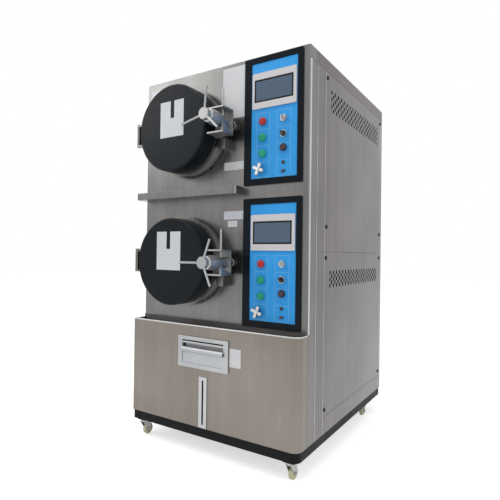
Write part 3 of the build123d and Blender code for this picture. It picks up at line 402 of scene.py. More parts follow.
finishes = {
    "stainless": metalMaterial(
        "brushedStainless", (0.150, 0.147, 0.142), (0.212, 0.208, 0.203), rough=0.27, spread=0.05,
        stretch=alongZ, bands=0.35,
    ),
    # a lighter, warmer copy of the stainless for the base box: painted warm reflection from the floor below
    "warmReflectionBaseStainless": metalMaterial(
        "warmReflectionBaseSheet", (0.178, 0.158, 0.137), (0.245, 0.221, 0.194), rough=0.31, spread=0.05,
        stretch=alongZ, bands=0.3,
    ),
    # a darker copy of the stainless for the side sheets: painted shade on the sides turned from the light
    "shadedSideStainless": metalMaterial(
        "shadedSideSheet", (0.128, 0.119, 0.117), (0.196, 0.184, 0.180), rough=0.25, spread=0.05,
        stretch=alongZ, bands=0.3,
    ),
    "polished_steel": metalMaterial(
        "polishedSteel", (0.29, 0.292, 0.295), (0.40, 0.402, 0.405), rough=0.46, spread=0.07,
        stretch=(300.0, 300.0, 300.0), bands=0.3, edge=0.0008, wear=0.5, depth=0.08,
    ),
    "knobChrome": metalMaterial(
        "knobChrome", (0.52, 0.52, 0.51), (0.68, 0.68, 0.67), rough=0.34, spread=0.07,
        stretch=(200.0, 200.0, 200.0), bands=0.4, edge=0.0012, wear=0.5, depth=0.06,
    ),
    "gaugeFrame": metalMaterial(
        "gaugeFrame", (0.42, 0.42, 0.43), (0.52, 0.52, 0.53), rough=0.42, spread=0.05, stretch=alongZ,
        bands=0.3,
    ),
    # a pale copy of the stainless for thin strips: painted highlight on folds, seams and lips
    "highlightStrip": metalMaterial(
        "paintedHighlightFold", (0.50, 0.50, 0.50), (0.62, 0.62, 0.62), rough=0.34, spread=0.05, stretch=alongZ,
        bands=0.3,
    ),
    "bandStainless": metalMaterial(
        "brushedTopBand", (0.112, 0.096, 0.101), (0.160, 0.139, 0.146), rough=0.28, spread=0.05,
        stretch=alongY, bands=0.3,
    ),
    "zinc": metalMaterial(
        "zincPlate", (0.34, 0.34, 0.33), (0.46, 0.46, 0.44), rough=0.36, spread=0.08,
        stretch=(90.0, 90.0, 90.0), bands=0.6, edge=0.0006,
    ),
    "brass": metalMaterial(
        "dullBrass", (0.42, 0.30, 0.13), (0.58, 0.43, 0.20), rough=0.30, spread=0.07,
        stretch=(200.0, 200.0, 200.0), bands=0.4, edge=0.0005,
    ),
    "inner_steel": metalMaterial(
        "innerSteel", (0.40, 0.40, 0.40), (0.52, 0.52, 0.51), rough=0.34, spread=0.07,
        stretch=(600.0, 12.0, 600.0),
    ),
    "cast_aluminium": metalMaterial(
        "castAluminium", (0.34, 0.35, 0.36), (0.46, 0.47, 0.48), rough=0.46, spread=0.06,
        stretch=(260.0, 260.0, 260.0), bands=0.3, edge=0.001, wear=0.4, depth=0.25,
    ),
    "collar_metal": metalMaterial(
        "collarMetal", (0.44, 0.45, 0.46), (0.58, 0.59, 0.60), rough=0.28, spread=0.05,
        stretch=(400.0, 400.0, 400.0), bands=0.4, edge=0.0004,
    ),
    "door_black": coatedMaterial(
        "doorEnamel", (0.0065, 0.0090, 0.0120), (0.0100, 0.0130, 0.0165), rough=0.40, spread=0.06,
        scale=700.0, edge=0.0025, wear=0.25, depth=0.12, level=0.10,
    ),
    "frame_black": coatedMaterial(
        "frameGloss", (0.0040, 0.0075, 0.0115), (0.0065, 0.0110, 0.0160), rough=0.20, spread=0.05,
        scale=400.0, edge=0.0012, wear=0.25, depth=0.03, level=0.10,
    ),
    "panel_blue": coatedMaterial(
        "panelBlue", (0.030, 0.350, 0.840), (0.042, 0.395, 0.900), rough=0.40, spread=0.06, scale=900.0,
        edge=0.0006, wear=0.2, depth=0.08, level=0.25,
    ),
    "bezel_grey": coatedMaterial(
        "bezelGrey", (0.64, 0.62, 0.63), (0.70, 0.68, 0.69), rough=0.42, spread=0.05, scale=1100.0,
        edge=0.0015, wear=0.15, depth=0.15,
    ),
    "screen": coatedMaterial(
        "screenGlass", (0.010, 0.011, 0.013), (0.013, 0.014, 0.016), rough=0.12, spread=0.03, scale=300.0,
        edge=0.0004, wear=0.1, depth=0.01, level=0.2,
    ),
    # seal colour, also used for the seam gaps and for the painted shadow strip at the wall's foot
    "seal": coatedMaterial(
        "sealAndPaintedShadow", (0.10, 0.095, 0.09), (0.14, 0.13, 0.12), rough=0.62, spread=0.06, scale=300.0,
        edge=0.001, wear=0.2, depth=0.2,
    ),
    "base_paint": coatedMaterial(
        "basePaint", (0.0060, 0.0065, 0.0075), (0.0105, 0.0110, 0.0125), rough=0.50, spread=0.07,
        scale=350.0, edge=0.0015, wear=0.3, depth=0.25, level=0.10,
    ),
    "screw_black": coatedMaterial(
        "screwBlack", (0.006, 0.009, 0.009), (0.010, 0.013, 0.013), rough=0.36, spread=0.06, scale=600.0,
        edge=0.0004, wear=0.3, depth=0.1, level=0.15,
    ),
    "button_red": coatedMaterial(
        "buttonRed", (0.44, 0.020, 0.026), (0.54, 0.032, 0.036), rough=0.30, spread=0.05, scale=500.0,
        edge=0.0006, wear=0.1, depth=0.03, level=0.3,
    ),
    "button_green": coatedMaterial(
        "buttonGreen", (0.006, 0.34, 0.18), (0.014, 0.42, 0.23), rough=0.30, spread=0.05, scale=500.0,
        edge=0.0006, wear=0.1, depth=0.03, level=0.3,
    ),
    "switch_black": coatedMaterial(
        "switchBlack", (0.012, 0.012, 0.013), (0.02, 0.02, 0.021), rough=0.34, spread=0.05, scale=600.0,
        edge=0.0005, wear=0.4, depth=0.08,
    ),
    "port_dark": coatedMaterial(
        "portDark", (0.035, 0.012, 0.018), (0.05, 0.017, 0.025), rough=0.32, spread=0.05, scale=500.0,
        edge=0.0005, wear=0.3, depth=0.08,
    ),
    "wheel_nylon": coatedMaterial(
        "wheelNylon", (0.60, 0.57, 0.36), (0.68, 0.65, 0.44), rough=0.46, spread=0.06, scale=380.0,
        edge=0.001, wear=0.2, worn=(0.5, 0.47, 0.33), depth=0.2,
    ),
}
labelPaper = coatedMaterial(
    "labelPaper", (0.60, 0.62, 0.66), (0.68, 0.70, 0.73), rough=0.50, spread=0.06, scale=900.0, edge=0.0002,
    wear=0.1, depth=0.1,
)
plateWhite = coatedMaterial(
    "plateWhite", (0.66, 0.66, 0.68), (0.74, 0.74, 0.75), rough=0.34, spread=0.05, scale=600.0, edge=0.0002,
    wear=0.1, depth=0.05,
)
lineBlue = coatedMaterial(
    "lineBlue", (0.22, 0.56, 0.86), (0.27, 0.60, 0.88), rough=0.42, spread=0.05, scale=900.0, edge=0.0001,
    wear=0.1, depth=0.05,
)
screenFace = coatedMaterial(
    "screenFace", (0.072, 0.118, 0.180), (0.092, 0.144, 0.215), rough=0.14, spread=0.04, scale=1500.0,
    edge=0.0001, wear=0.0, depth=0.02, level=0.4,
)
tubeGlass = coatedMaterial(
    "tubeGlass", (0.16, 0.17, 0.18), (0.22, 0.23, 0.24), rough=0.12, spread=0.04, scale=300.0, edge=0.0002,
    wear=0.1, depth=0.02,
)

# the side sheets and their vent panels take the darker copy of the stainless, painted shade
sideSheets = {"right_side", "left_side", "right_access_upper", "right_access_lower", "left_access_panels"}
for name, piece in nodes.items():
    finish = "shadedSideStainless" if name in sideSheets else slotOfNode[name]
    finish = {
        "top_cover": "bandStainless", "level_gauge": "gaugeFrame", "base_shell": "warmReflectionBaseStainless",
    }.get(name, finish)
    for index in range(len(piece.material_slots)):
        piece.material_slots[index].material = finishes[finish]
print("finishes on", len(nodes), "solids")


# mesh helpers

def addBlock(mesh, low, high, rounding=0.0, steps=2):
    # a box between two corners, with rounded edges when asked
    low, high = Vector(low), Vector(high)
    made = bmesh.ops.create_cube(mesh, size=1.0)["verts"]
    for vert in made:
        vert.co = Vector([low[i] + (vert.co[i] + 0.5) * (high[i] - low[i]) for i in range(3)])
    if rounding:
        edges = list({edge for vert in made for edge in vert.link_edges})
        bmesh.ops.bevel(mesh, geom=edges, offset=rounding, segments=steps, affect="EDGES", profile=0.5)


def addTurned(mesh, profile, centre, axis, steps=48):
    # sweeps points of (radius, distance) round an axis through centre
    turn = Vector((0, 0, 1)).rotation_difference(Vector(axis)).to_matrix()
    rings = []
    for radius, distance in profile:
        if radius < 1e-7:
            rings.append([mesh.verts.new(Vector(centre) + turn @ Vector((0, 0, distance)))])
            continue
        ring = []
        for n in range(steps):
            angle = 2 * pi * n / steps
            spoke = Vector((radius * cos(angle), radius * sin(angle), distance))
            ring.append(mesh.verts.new(Vector(centre) + turn @ spoke))
        rings.append(ring)
    for first, second in zip(rings, rings[1:]):
        for n in range(steps):
            m = (n + 1) % steps
            corners = [
                first[n % len(first)], first[m % len(first)], second[m % len(second)],
                second[n % len(second)],
            ]
            unique = list(dict.fromkeys(corners))
            if len(unique) > 2:
                mesh.faces.new(unique)


def mergeInto(mesh, part, matrix):
    # moves one shape to its place and adds it to a larger piece
    part.transform(matrix)
    data = bpy.data.meshes.new("part")
    part.to_mesh(data)
    part.free()
    mesh.from_mesh(data)
    bpy.data.meshes.remove(data)


smoothAngle = 35.0  # faces that meet at more than this keep a sharp edge


def finishPiece(name, mesh, body, material):
    # turns a bmesh into a piece that rides on a body
    bmesh.ops.remove_doubles(mesh, verts=mesh.verts, dist=1e-6)
    bmesh.ops.recalc_face_normals(mesh, faces=mesh.faces)
    data = bpy.data.meshes.new(name)
    mesh.to_mesh(data)
    mesh.free()
    return placePiece(name, data, body, material)


def placePiece(name, data, body, material):
    data.name = name
    data.shade_smooth()
    data.set_sharp_from_angle(angle=radians(smoothAngle))
    data.materials.clear()
    data.materials.append(material)
    piece = bpy.data.objects.new(name, data)
    bpy.context.scene.collection.objects.link(piece)
    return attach(piece, body)


def solidBoxes(node):
    # lowest and highest corner of each separate solid in a node
    work = bmesh.new()
    work.from_mesh(nodes[node].data)
    bmesh.ops.remove_doubles(work, verts=work.verts, dist=1e-5)
    left = set(work.verts)
    boxes = []
    while left:
        group, queue = set(), [left.pop()]
        while queue:
            vert = queue.pop()
            group.add(vert)
            for edge in vert.link_edges:
                other = edge.other_vert(vert)
                if other in left:
                    left.discard(other)
                    queue.append(other)
        low = Vector([min(vert.co[i] for vert in group) for i in range(3)])
        high = Vector([max(vert.co[i] for vert in group) for i in range(3)])
        boxes.append((low, high))
    work.free()
    return sorted(boxes, key=lambda box: (round(box[0].z, 4), round(box[0].y, 4), round(box[0].x, 4)))


# geometry node helpers

def geometryTree(name, inputs):
    tree = bpy.data.node_groups.new(name, "GeometryNodeTree")
    for label, kind, value in inputs:
        socket = tree.interface.new_socket(name=label, in_out="INPUT", socket_type="NodeSocket" + kind)
        if value is not None:
            socket.default_value = value
    tree.interface.new_socket(name="Geometry", in_out="OUTPUT", socket_type="NodeSocketGeometry")
    return tree, tree.nodes.new("NodeGroupInput").outputs, tree.nodes.new("NodeGroupOutput")


def runTree(tree, values, data=None):
    # evaluates a tree on a carrier object and hands back the plain mesh
    carrier = bpy.data.objects.new("carrier", data or bpy.data.meshes.new("carrier"))
    bpy.context.scene.collection.objects.link(carrier)
    modifier = carrier.modifiers.new("build", "NODES")
    modifier.node_group = tree
    sockets = {item.name: item.identifier for item in tree.interface.items_tree if item.in_out == "INPUT"}
    for label, value in values.items():
        modifier[sockets[label]] = value
    carrier.update_tag()
    graph = bpy.context.evaluated_depsgraph_get()
    made = bpy.data.meshes.new_from_object(carrier.evaluated_get(graph), depsgraph=graph)
    carrier.modifiers.clear()
    bpy.data.objects.remove(carrier)
    return made


# vent panels: sheets with staggered upright slots

ventPanel = {
    "columns": 18, "endRound": 0.499,  # a little under half, so that a slot's ends stay apart
    "slotWidth": 0.0145, "slotHeight": 0.0190,
    "ventStart": 0.068, "ventLength": 0.652,
    "upper": {"drop": 0.062, "height": 0.095, "rows": 6},
    "lower": {"drop": 0.078, "height": 0.074, "rows": 5},
}


def makeSheetTree():
    tree, given, result = geometryTree("slottedSheet", [
        ("Width", "Float", 0.8), ("Height", "Float", 0.7), ("Thickness", "Float", 0.002),
        ("Columns", "Int", 28), ("Rows", "Int", 6), ("Pitch", "Float", 0.024),
        ("Row Pitch", "Float", 0.016),
        ("Slot Width", "Float", 0.006), ("Slot Height", "Float", 0.011),
        ("Vent Start", "Vector", (0, 0, 0)), ("Finish", "Material", None),
    ])
    outline = put(
        tree, "GeometryNodeCurvePrimitiveQuadrilateral",
        {"Width": given["Width"], "Height": given["Height"]},
    ).outputs[0]
    slot = put(
        tree, "GeometryNodeCurvePrimitiveQuadrilateral",
        {"Width": given["Slot Width"], "Height": given["Slot Height"]},
    ).outputs[0]
    half = calc(tree, "MULTIPLY", given["Slot Width"], ventPanel["endRound"])
    slot = put(
        tree, "GeometryNodeFilletCurve", {"Curve": slot, "Count": 2, "Radius": half}, mode="POLY",
    ).outputs[0]
    index = put(tree, "GeometryNodeInputIndex").outputs[0]
    row = calc(tree, "FLOOR", calc(tree, "DIVIDE", index, given["Columns"]))
    column = calc(tree, "SUBTRACT", index, calc(tree, "MULTIPLY", row, given["Columns"]))
    shift = calc(tree, "MULTIPLY", calc(tree, "MODULO", row, 2.0), 0.5)
    across = calc(tree, "MULTIPLY", calc(tree, "ADD", column, shift), given["Pitch"])
    down = calc(tree, "MULTIPLY", calc(tree, "MULTIPLY", row, given["Row Pitch"]), -1.0)
    place = put(tree, "ShaderNodeCombineXYZ", {0: across, 1: down}).outputs[0]
    place = put(
        tree, "ShaderNodeVectorMath", {0: place, 1: given["Vent Start"]}, operation="ADD",
    ).outputs[0]
    count = calc(tree, "MULTIPLY", given["Columns"], given["Rows"])
    points = put(tree, "GeometryNodePoints", {"Count": count, "Position": place}).outputs[0]
    slots = put(tree, "GeometryNodeInstanceOnPoints", {"Points": points, "Instance": slot}).outputs[0]
    slots = put(tree, "GeometryNodeRealizeInstances", {0: slots}).outputs[0]
    curves = put(tree, "GeometryNodeJoinGeometry", {0: outline})
    tree.links.new(slots, curves.inputs[0])
    sheet = put(tree, "GeometryNodeFillCurve", {"Curve": curves.outputs[0]}, mode="TRIANGLES").outputs[0]
    lift = put(tree, "ShaderNodeCombineXYZ", {2: given["Thickness"]}).outputs[0]
    front = put(
        tree, "GeometryNodeExtrudeMesh", {"Mesh": sheet, "Offset": lift, "Individual": False}, mode="FACES",
    ).outputs[0]
    back = put(tree, "GeometryNodeFlipFaces", {"Mesh": sheet}).outputs[0]
    whole = put(tree, "GeometryNodeJoinGeometry", {0: front})
    tree.links.new(back, whole.inputs[0])
    merged = put(
        tree, "GeometryNodeMergeByDistance", {"Geometry": whole.outputs[0], "Distance": 1e-6},
    ).outputs[0]
    real = put(tree, "GeometryNodeRealizeInstances", {0: merged}).outputs[0]
    done = put(tree, "GeometryNodeSetMaterial", {"Geometry": real, "Material": given["Finish"]}).outputs[0]
    tree.links.new(done, result.inputs[0])
    return tree


def sheetMesh(tree, low, high, deck):
    # local x runs to the back, local y runs up, and the thickness goes along X
    width, height, thickness = high.y - low.y, high.z - low.z, high.x - low.x
    vent = ventPanel[deck]
    pitch = ventPanel["ventLength"] / (ventPanel["columns"] - 0.5)
    rowPitch = (vent["height"] - ventPanel["slotHeight"]) / (vent["rows"] - 1)
    firstAcross = ventPanel["ventStart"] - width / 2
    firstUp = height / 2 - vent["drop"] - ventPanel["slotHeight"] / 2
    made = runTree(tree, {
        "Width": width, "Height": height, "Thickness": thickness,
        "Columns": ventPanel["columns"], "Rows": vent["rows"], "Pitch": pitch, "Row Pitch": rowPitch,
        "Slot Width": ventPanel["slotWidth"], "Slot Height": ventPanel["slotHeight"],
        "Vent Start": Vector((firstAcross, firstUp, 0)), "Finish": finishes["shadedSideStainless"],
    })
    middle = (low + high) / 2
    turn = Matrix(((0, 0, 1), (1, 0, 0), (0, 1, 0))).to_4x4()
    made.transform(Matrix.Translation((low.x, middle.y, middle.z)) @ turn)
    return made


def makeVentPanels():
    tree = makeSheetTree()
    for node in ("right_access_upper", "right_access_lower", "left_access_panels"):
        whole = bmesh.new()
        boxes = solidBoxes(node)
        for n, (low, high) in enumerate(boxes):
            deck = decks[n] if len(boxes) > 1 else node.split("_")[-1]
            whole.from_mesh(sheetMesh(tree, low, high, deck))
        piece = finishPiece(
            "slotted_" + node, whole, "cabinet", finishes["shadedSideStainless"],
        )
        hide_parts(node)


makeVentPanels()
print("vent panels slotted")


# black thumb screws, made on the heads' places

thumbScrew = {
    "spread": 1.28, "back": 0.010, "raise": 0.078, "recess": 0.36, "recessDepth": 0.5, "taper": 0.95,
    "shank": 0.42,
    "head": ((1.0, 0.0), (1.0, 0.45), (0.93, 0.75), (0.78, 0.95), (0.55, 1.0)),  # shares of radius and height
}


def makeScrewTree():
    tree, given, result = geometryTree("screwsOnPoints", [
        ("Geometry", "Geometry", None), ("Screw", "Object", None), ("Finish", "Material", None),
    ])
    shape = put(tree, "GeometryNodeObjectInfo", {"Object": given["Screw"]}).outputs["Geometry"]
    normal = put(
        tree, "GeometryNodeInputNamedAttribute", {"Name": "outward"}, data_type="FLOAT_VECTOR",
    ).outputs[0]
    turned = put(tree, "FunctionNodeAlignRotationToVector", {"Vector": normal}, axis="Z").outputs[0]
    points = put(tree, "GeometryNodeMeshToPoints", {"Mesh": given["Geometry"]}).outputs[0]
    placed = put(
        tree, "GeometryNodeInstanceOnPoints", {"Points": points, "Instance": shape, "Rotation": turned},
    ).outputs[0]
    real = put(tree, "GeometryNodeRealizeInstances", {0: placed}).outputs[0]
    done = put(tree, "GeometryNodeSetMaterial", {"Geometry": real, "Material": given["Finish"]}).outputs[0]
    tree.links.new(done, result.inputs[0])
    return tree


def instancesOn(tree, places, shape, material):
    # places are (point, outward direction), shape is a bmesh with its back on the ground plane
    model = bpy.data.meshes.new("shape")
    bmesh.ops.recalc_face_normals(shape, faces=shape.faces)
    shape.to_mesh(model)
    shape.free()
    pattern = bpy.data.objects.new("shape", model)
    bpy.context.scene.collection.objects.link(pattern)
    data = bpy.data.meshes.new("points")
    data.from_pydata([point for point, _ in places], [], [])
    outward = data.attributes.new("outward", "FLOAT_VECTOR", "POINT")
    for n, (_, direction) in enumerate(places):
        outward.data[n].vector = direction
    made = runTree(tree, {"Screw": pattern, "Finish": material}, data)
    bpy.data.objects.remove(pattern)
    return made


screwTree = makeScrewTree()


def screwShape(radius, height, shank=0.0, sides=24):
    # domed head with a round recess, and a shank behind it when asked
    shape = bmesh.new()
    thin = radius * thumbScrew["shank"]
    profile = [(0, -shank), (thin, -shank), (thin, 0)] if shank else [(0, 0)]
    profile += [(radius * wide, height * tall) for wide, tall in thumbScrew["head"]]
    recess, deep = radius * thumbScrew["recess"], height * thumbScrew["recessDepth"]
    profile += [(recess, height), (recess * thumbScrew["taper"], deep), (0, deep)]
    addTurned(shape, profile, (0, 0, 0), (0, 0, 1), sides)
    bmesh.ops.remove_doubles(shape, verts=shape.verts, dist=1e-7)
    return shape


def makePanelScrews():
    boxes = solidBoxes("panel_screws")
    outer = max(high.x for low, high in boxes)
    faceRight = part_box("right_access_upper")[1].x
    places = []
    middle = (boxes[0][0].y + boxes[-1][1].y) / 2
    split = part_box("right_access_upper")[0].z
    for low, high in boxes:
        side = 1 if low.x > 0 else -1
        y, z = (low.y + high.y) / 2, (low.z + high.z) / 2
        y += thumbScrew["back"] if y < middle else 0.0
        z += thumbScrew["raise"] if 0 < z - split < 2 * thumbScrew["raise"] else 0.0
        places.append(((side * faceRight, y, z), (side, 0, 0)))
    radius = (boxes[0][1].y - boxes[0][0].y) / 2 * thumbScrew["spread"]
    shank = min(high.x - low.x for low, high in boxes) - (outer - faceRight)
    made = instancesOn(
        screwTree, places, screwShape(radius, outer - faceRight, shank), finishes["screw_black"],
    )
    piece = placePiece("thumbScrews", made, "cabinet", finishes["screw_black"])
    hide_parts("panel_screws")


rearScrew = {"radius": 0.0045, "height": 0.0022, "side": 0.012, "end": 0.030, "rows": 5, "sides": 16}


def makeRearScrews():
    # small pan heads down both edges of the rear panel
    low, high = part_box("rear_panel")
    r = rearScrew
    places = []
    for x in (low.x + r["side"], high.x - r["side"]):
        for n in range(r["rows"]):
            z = low.z + r["end"] + (high.z - low.z - 2 * r["end"]) * n / (r["rows"] - 1)
            places.append(((x, high.y, z), (0, 1, 0)))
    made = instancesOn(
        screwTree, places, screwShape(r["radius"], r["height"], 0.0, r["sides"]), finishes["zinc"],
    )
    placePiece("rearScrews", made, "cabinet", finishes["zinc"])


makePanelScrews()
makeRearScrews()
print("thumb screws set")


# blank U-shaped sheets on the door caps, and blank plates on the wall

doorLabel = {
    "lower": {
        "left": -0.072, "right": 0.064, "gapLeft": -0.0150, "gapRight": 0.0060, "low": -0.037,
        "gapLow": 0.054, "high": 0.129,
    },
    "upper": {
        "left": -0.061, "right": 0.072, "gapLeft": -0.0020, "gapRight": 0.0190, "low": -0.041,
        "gapLow": 0.041, "high": 0.115,
    },
    "thick": 0.0004,
}


def addOutline(mesh, points, y0, y1):
    # a flat shape in the plane of the wall, thickened along Y
    back = [mesh.verts.new((x, y0, z)) for x, z in points]
    front = [mesh.verts.new((x, y1, z)) for x, z in points]
    mesh.faces.new(back)
    mesh.faces.new(front)
    for n in range(len(points)):
        m = (n + 1) % len(points)
        mesh.faces.new([back[n], back[m], front[m], front[n]])


def makeDoorLabels():
    for deck in decks:
        low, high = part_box("door_cap_" + deck)
        x, z = (low.x + high.x) / 2, (low.z + high.z) / 2
        d = doorLabel[deck]
        points = [
            (d["left"], d["low"]), (d["right"], d["low"]), (d["right"], d["high"]),
            (d["gapRight"], d["high"]),
            (d["gapRight"], d["gapLow"]), (d["gapLeft"], d["gapLow"]), (d["gapLeft"], d["high"]),
            (d["left"], d["high"]),
        ]
        mesh = bmesh.new()
        addOutline(mesh, [(x + px, z + pz) for px, pz in points], low.y, low.y - doorLabel["thick"])
        finishPiece("blankSheet_" + deck, mesh, "door_" + deck, labelPaper)


makeDoorLabels()


# places on the wall, measured from the cabinet's right side and from the underside of its plinth
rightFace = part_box("right_side")[1].x
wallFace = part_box("front_panel")[0].y
tankLift = 0.040  # of the tank's underside above the plinth's
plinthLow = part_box("water_tank")[0].z - tankLift
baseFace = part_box("base_shell")[0].y
plateThick = 0.0006
wallPlates = [
    # name, from right, to right, low, high, face, finish
    ("cornerPlate", 0.840, 0.640, 1.515, 1.560, wallFace, plateWhite),
    ("noticePlate", 0.413, 0.296, 1.358, 1.577, wallFace, plateWhite),
    ("stripPlateUpper", 0.401, 0.300, 1.136, 1.171, wallFace, plateWhite),
    ("stripPlateLower", 0.400, 0.297, 0.926, 0.961, wallFace, labelPaper),
    ("smallPlateLower", 0.379, 0.330, 0.894, 0.920, wallFace, plateWhite),
    ("drawerPlate", 0.314, 0.259, 0.319, 0.394, baseFace, plateWhite),
]


def makeWallPlates():
    for name, start, end, low, high, face, finish in wallPlates:
        mesh = bmesh.new()
        addBlock(
            mesh, (rightFace - start, face - plateThick, plinthLow + low),
            (rightFace - end, face, plinthLow + high),
        )
        finishPiece(name, mesh, "cabinet", finish)


makeWallPlates()
print("blank sheets and plates placed")


# painted highlights: pale strips along the folded edges and seams, and the dark gaps beside them

sheetEdges = {
    "proud": 0.0004,
    "bright": 0.0032, "dark": 0.0016,
    "foldFrom": 0.0045, "foldTo": 0.0170,
    "pillar": 0.0720, "strip": 0.1520, "rear": 0.0250,
    "low": 0.0400, "lowStrip": 0.1120, "split": 0.7930, "top": 0.0490,
    "lipHigh": 0.0042, "lipProud": 0.0005, "corner": 0.0350,
    "footHigh": 0.0140, "bendSteps": 8, "foldSteps": 10,
}


def addSideStrip(mesh, side, y0, y1, z0, z1):
    outer = side * (abs(rightFace) + sheetEdges["proud"])
    inner = side * (abs(rightFace) - sheetEdges["proud"])
    addBlock(mesh, (min(outer, inner), y0, z0), (max(outer, inner), y1, z1))


def makeSheetEdges():
    e = sheetEdges
    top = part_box("top_cover")[1].z - e["top"]
    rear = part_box("right_side")[1].y - e["rear"]
    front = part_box("right_access_upper")[0].y
    # bright gathers the painted highlight strips, dark gathers the seam gaps
    bright, dark = bmesh.new(), bmesh.new()
    low = plinthLow + e["low"]
    for side in (1, -1):
        for y in (wallFace + e["pillar"], wallFace + e["strip"]):
            addSideStrip(bright, side, y, y + e["bright"], low, top)
            addSideStrip(dark, side, y - e["dark"], y, low, top)
        addSideStrip(bright, side, rear, rear + e["bright"], low, top - e["footHigh"])
        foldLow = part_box("base_shell")[1].z
        addSideStrip(bright, side, wallFace + e["foldFrom"], wallFace + e["foldTo"], foldLow, top)
        for z in (plinthLow + e["lowStrip"], plinthLow + e["split"]):
            addSideStrip(dark, side, front, rear, z - e["dark"] / 2, z + e["dark"] / 2)
        addSideStrip(dark, side, wallFace, rear + e["rear"], top - e["dark"], top)
    finishPiece("foldedEdges", bright, "cabinet", finishes["highlightStrip"])
    finishPiece("sheetGaps", dark, "cabinet", finishes["seal"])


def makeBaseLip():
    # a painted highlight bead along the front box's upper edge, and a painted shadow strip at the foot of the
    # wall behind it
    e = sheetEdges
    (left, front, _), (right, _, high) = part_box("base_shell")
    proud, corner = e["lipProud"], e["corner"]
    path = []
    for n in range(e["bendSteps"] + 1):
        angle = radians(-90 * n / e["bendSteps"])
        path.append((right - corner + corner * cos(angle), front + corner + corner * sin(angle)))
    outline = [(right, wallFace)] + path + [
        (left + proud, front), (left + 2 * proud, front + 2 * proud), (left + proud, wallFace),
    ]
    mesh = bmesh.new()
    rings = []
    for n, (x, y) in enumerate(outline):
        before, after = outline[max(n - 1, 0)], outline[min(n + 1, len(outline) - 1)]
        along = Vector((after[0] - before[0], after[1] - before[1])).normalized()
        out = Vector((-along.y, along.x)) * -1
        near, far = Vector((x, y)) + out * proud, Vector((x, y)) - out * 2 * proud
        under, over = high - e["lipHigh"], high + proud
        corners = ((near, under), (near, over), (far, over), (far, under))
        rings.append([mesh.verts.new((*point, z)) for point, z in corners])
    for first, second in zip(rings, rings[1:]):
        for n in range(4):
            mesh.faces.new([first[n], first[(n + 1) % 4], second[(n + 1) % 4], second[n]])
    for ring in (rings[0], rings[-1]):
        mesh.faces.new(ring)
    finishPiece("baseLip", mesh, "cabinet", finishes["highlightStrip"])
    # a dark strip at the foot of the wall: painted shadow in the trough under the ledge
    foot = bmesh.new()
    addBlock(
        foot, (left + proud, wallFace - 4 * proud, high - e["footHigh"]),
        (right - proud, wallFace, high + e["footHigh"]),
    )
    finishPiece("wallFoot", foot, "cabinet", finishes["seal"])


def makeBaseCorner():
    # the front box and the plinth end in a sharp fold on the left
    steps = sheetEdges["foldSteps"]
    for name, node in (("baseCorner", "base_shell"), ("plinthCorner", "plinth")):
        (left, front, low), (_, _, high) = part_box(node)
        corner = sheetEdges["corner"]
        if node == "plinth":
            low, high = plinthLow, plinthLow + sheetEdges["low"]
        centre = (left + corner, front + corner)
        arc = [radians(180 + 90 * n / steps) for n in range(steps + 1)]
        inner = corner - 2 * sheetEdges["proud"]
        bend = [(centre[0] + inner * cos(a), centre[1] + inner * sin(a)) for a in arc[::-1]]
        points = [(left, front), (left + corner, front)] + bend + [(left, front + corner)]
        mesh = bmesh.new()
        lower = [mesh.verts.new((x, y, low)) for x, y in points]
        upper = [mesh.verts.new((x, y, high)) for x, y in points]
        mesh.faces.new(lower)
        mesh.faces.new(upper)
        for n in range(len(points)):
            m = (n + 1) % len(points)
            mesh.faces.new([lower[n], lower[m], upper[m], upper[n]])
        finish = finishes["warmReflectionBaseStainless" if node == "base_shell" else slotOfNode[node]]
        finishPiece(name, mesh, "cabinet", finish)


makeSheetEdges()
makeBaseLip()
makeBaseCorner()
print("folded edges and lip placed")


# pale outline boxes on the control plates

outlineBoxes = {
    "columns": ((0.237, 0.176), (0.142, 0.080)),
    "rows": (0.7755, 0.7085, 0.642, 0.576, 0.514),
    "line": 0.0012,
    "thick": 0.0002,
}


def makeOutlineBoxes():
    plates = solidBoxes("control_plates")
    lift = plates[1][0].z - plates[0][0].z
    face = plates[0][0].y
    half = outlineBoxes["line"] / 2
    mesh = bmesh.new()
    for deck in range(2):
        for start, end in outlineBoxes["columns"]:
            x0, x1 = rightFace - start, rightFace - end
            heights = [plinthLow + lift * deck + row for row in outlineBoxes["rows"]]
            for z in heights:
                addBlock(mesh, (x0, face - outlineBoxes["thick"], z - half), (x1, face, z + half))
            for x in (x0, x1):
                addBlock(
                    mesh, (x - half, face - outlineBoxes["thick"], heights[-1]),
                    (x + half, face, heights[0]),
                )
    finishPiece("outlineBoxes", mesh, "cabinet", lineBlue)


makeOutlineBoxes()


# domed push button caps over their collars

buttonCap = {
    "proud": 0.0095,  # how far the button's front stands ahead of its collar's foot
    "stem": 0.0035, "well": 0.0114, "wellBack": 0.0054,
    "ceiling": 0.0093, "inner": 0.0153, "radius": 0.0162, "rim": 0.0040,
    "skirt": 0.0072, "front": 0.0131, "hollow": 0.0008, "sides": 40,
    "bulge": ((0.96, 0.44), (0.84, 0.74), (0.62, 0.93)),  # shares of the radius and of the dome's height
    "rimShare": 0.5, "hollowShare": 0.3,
}


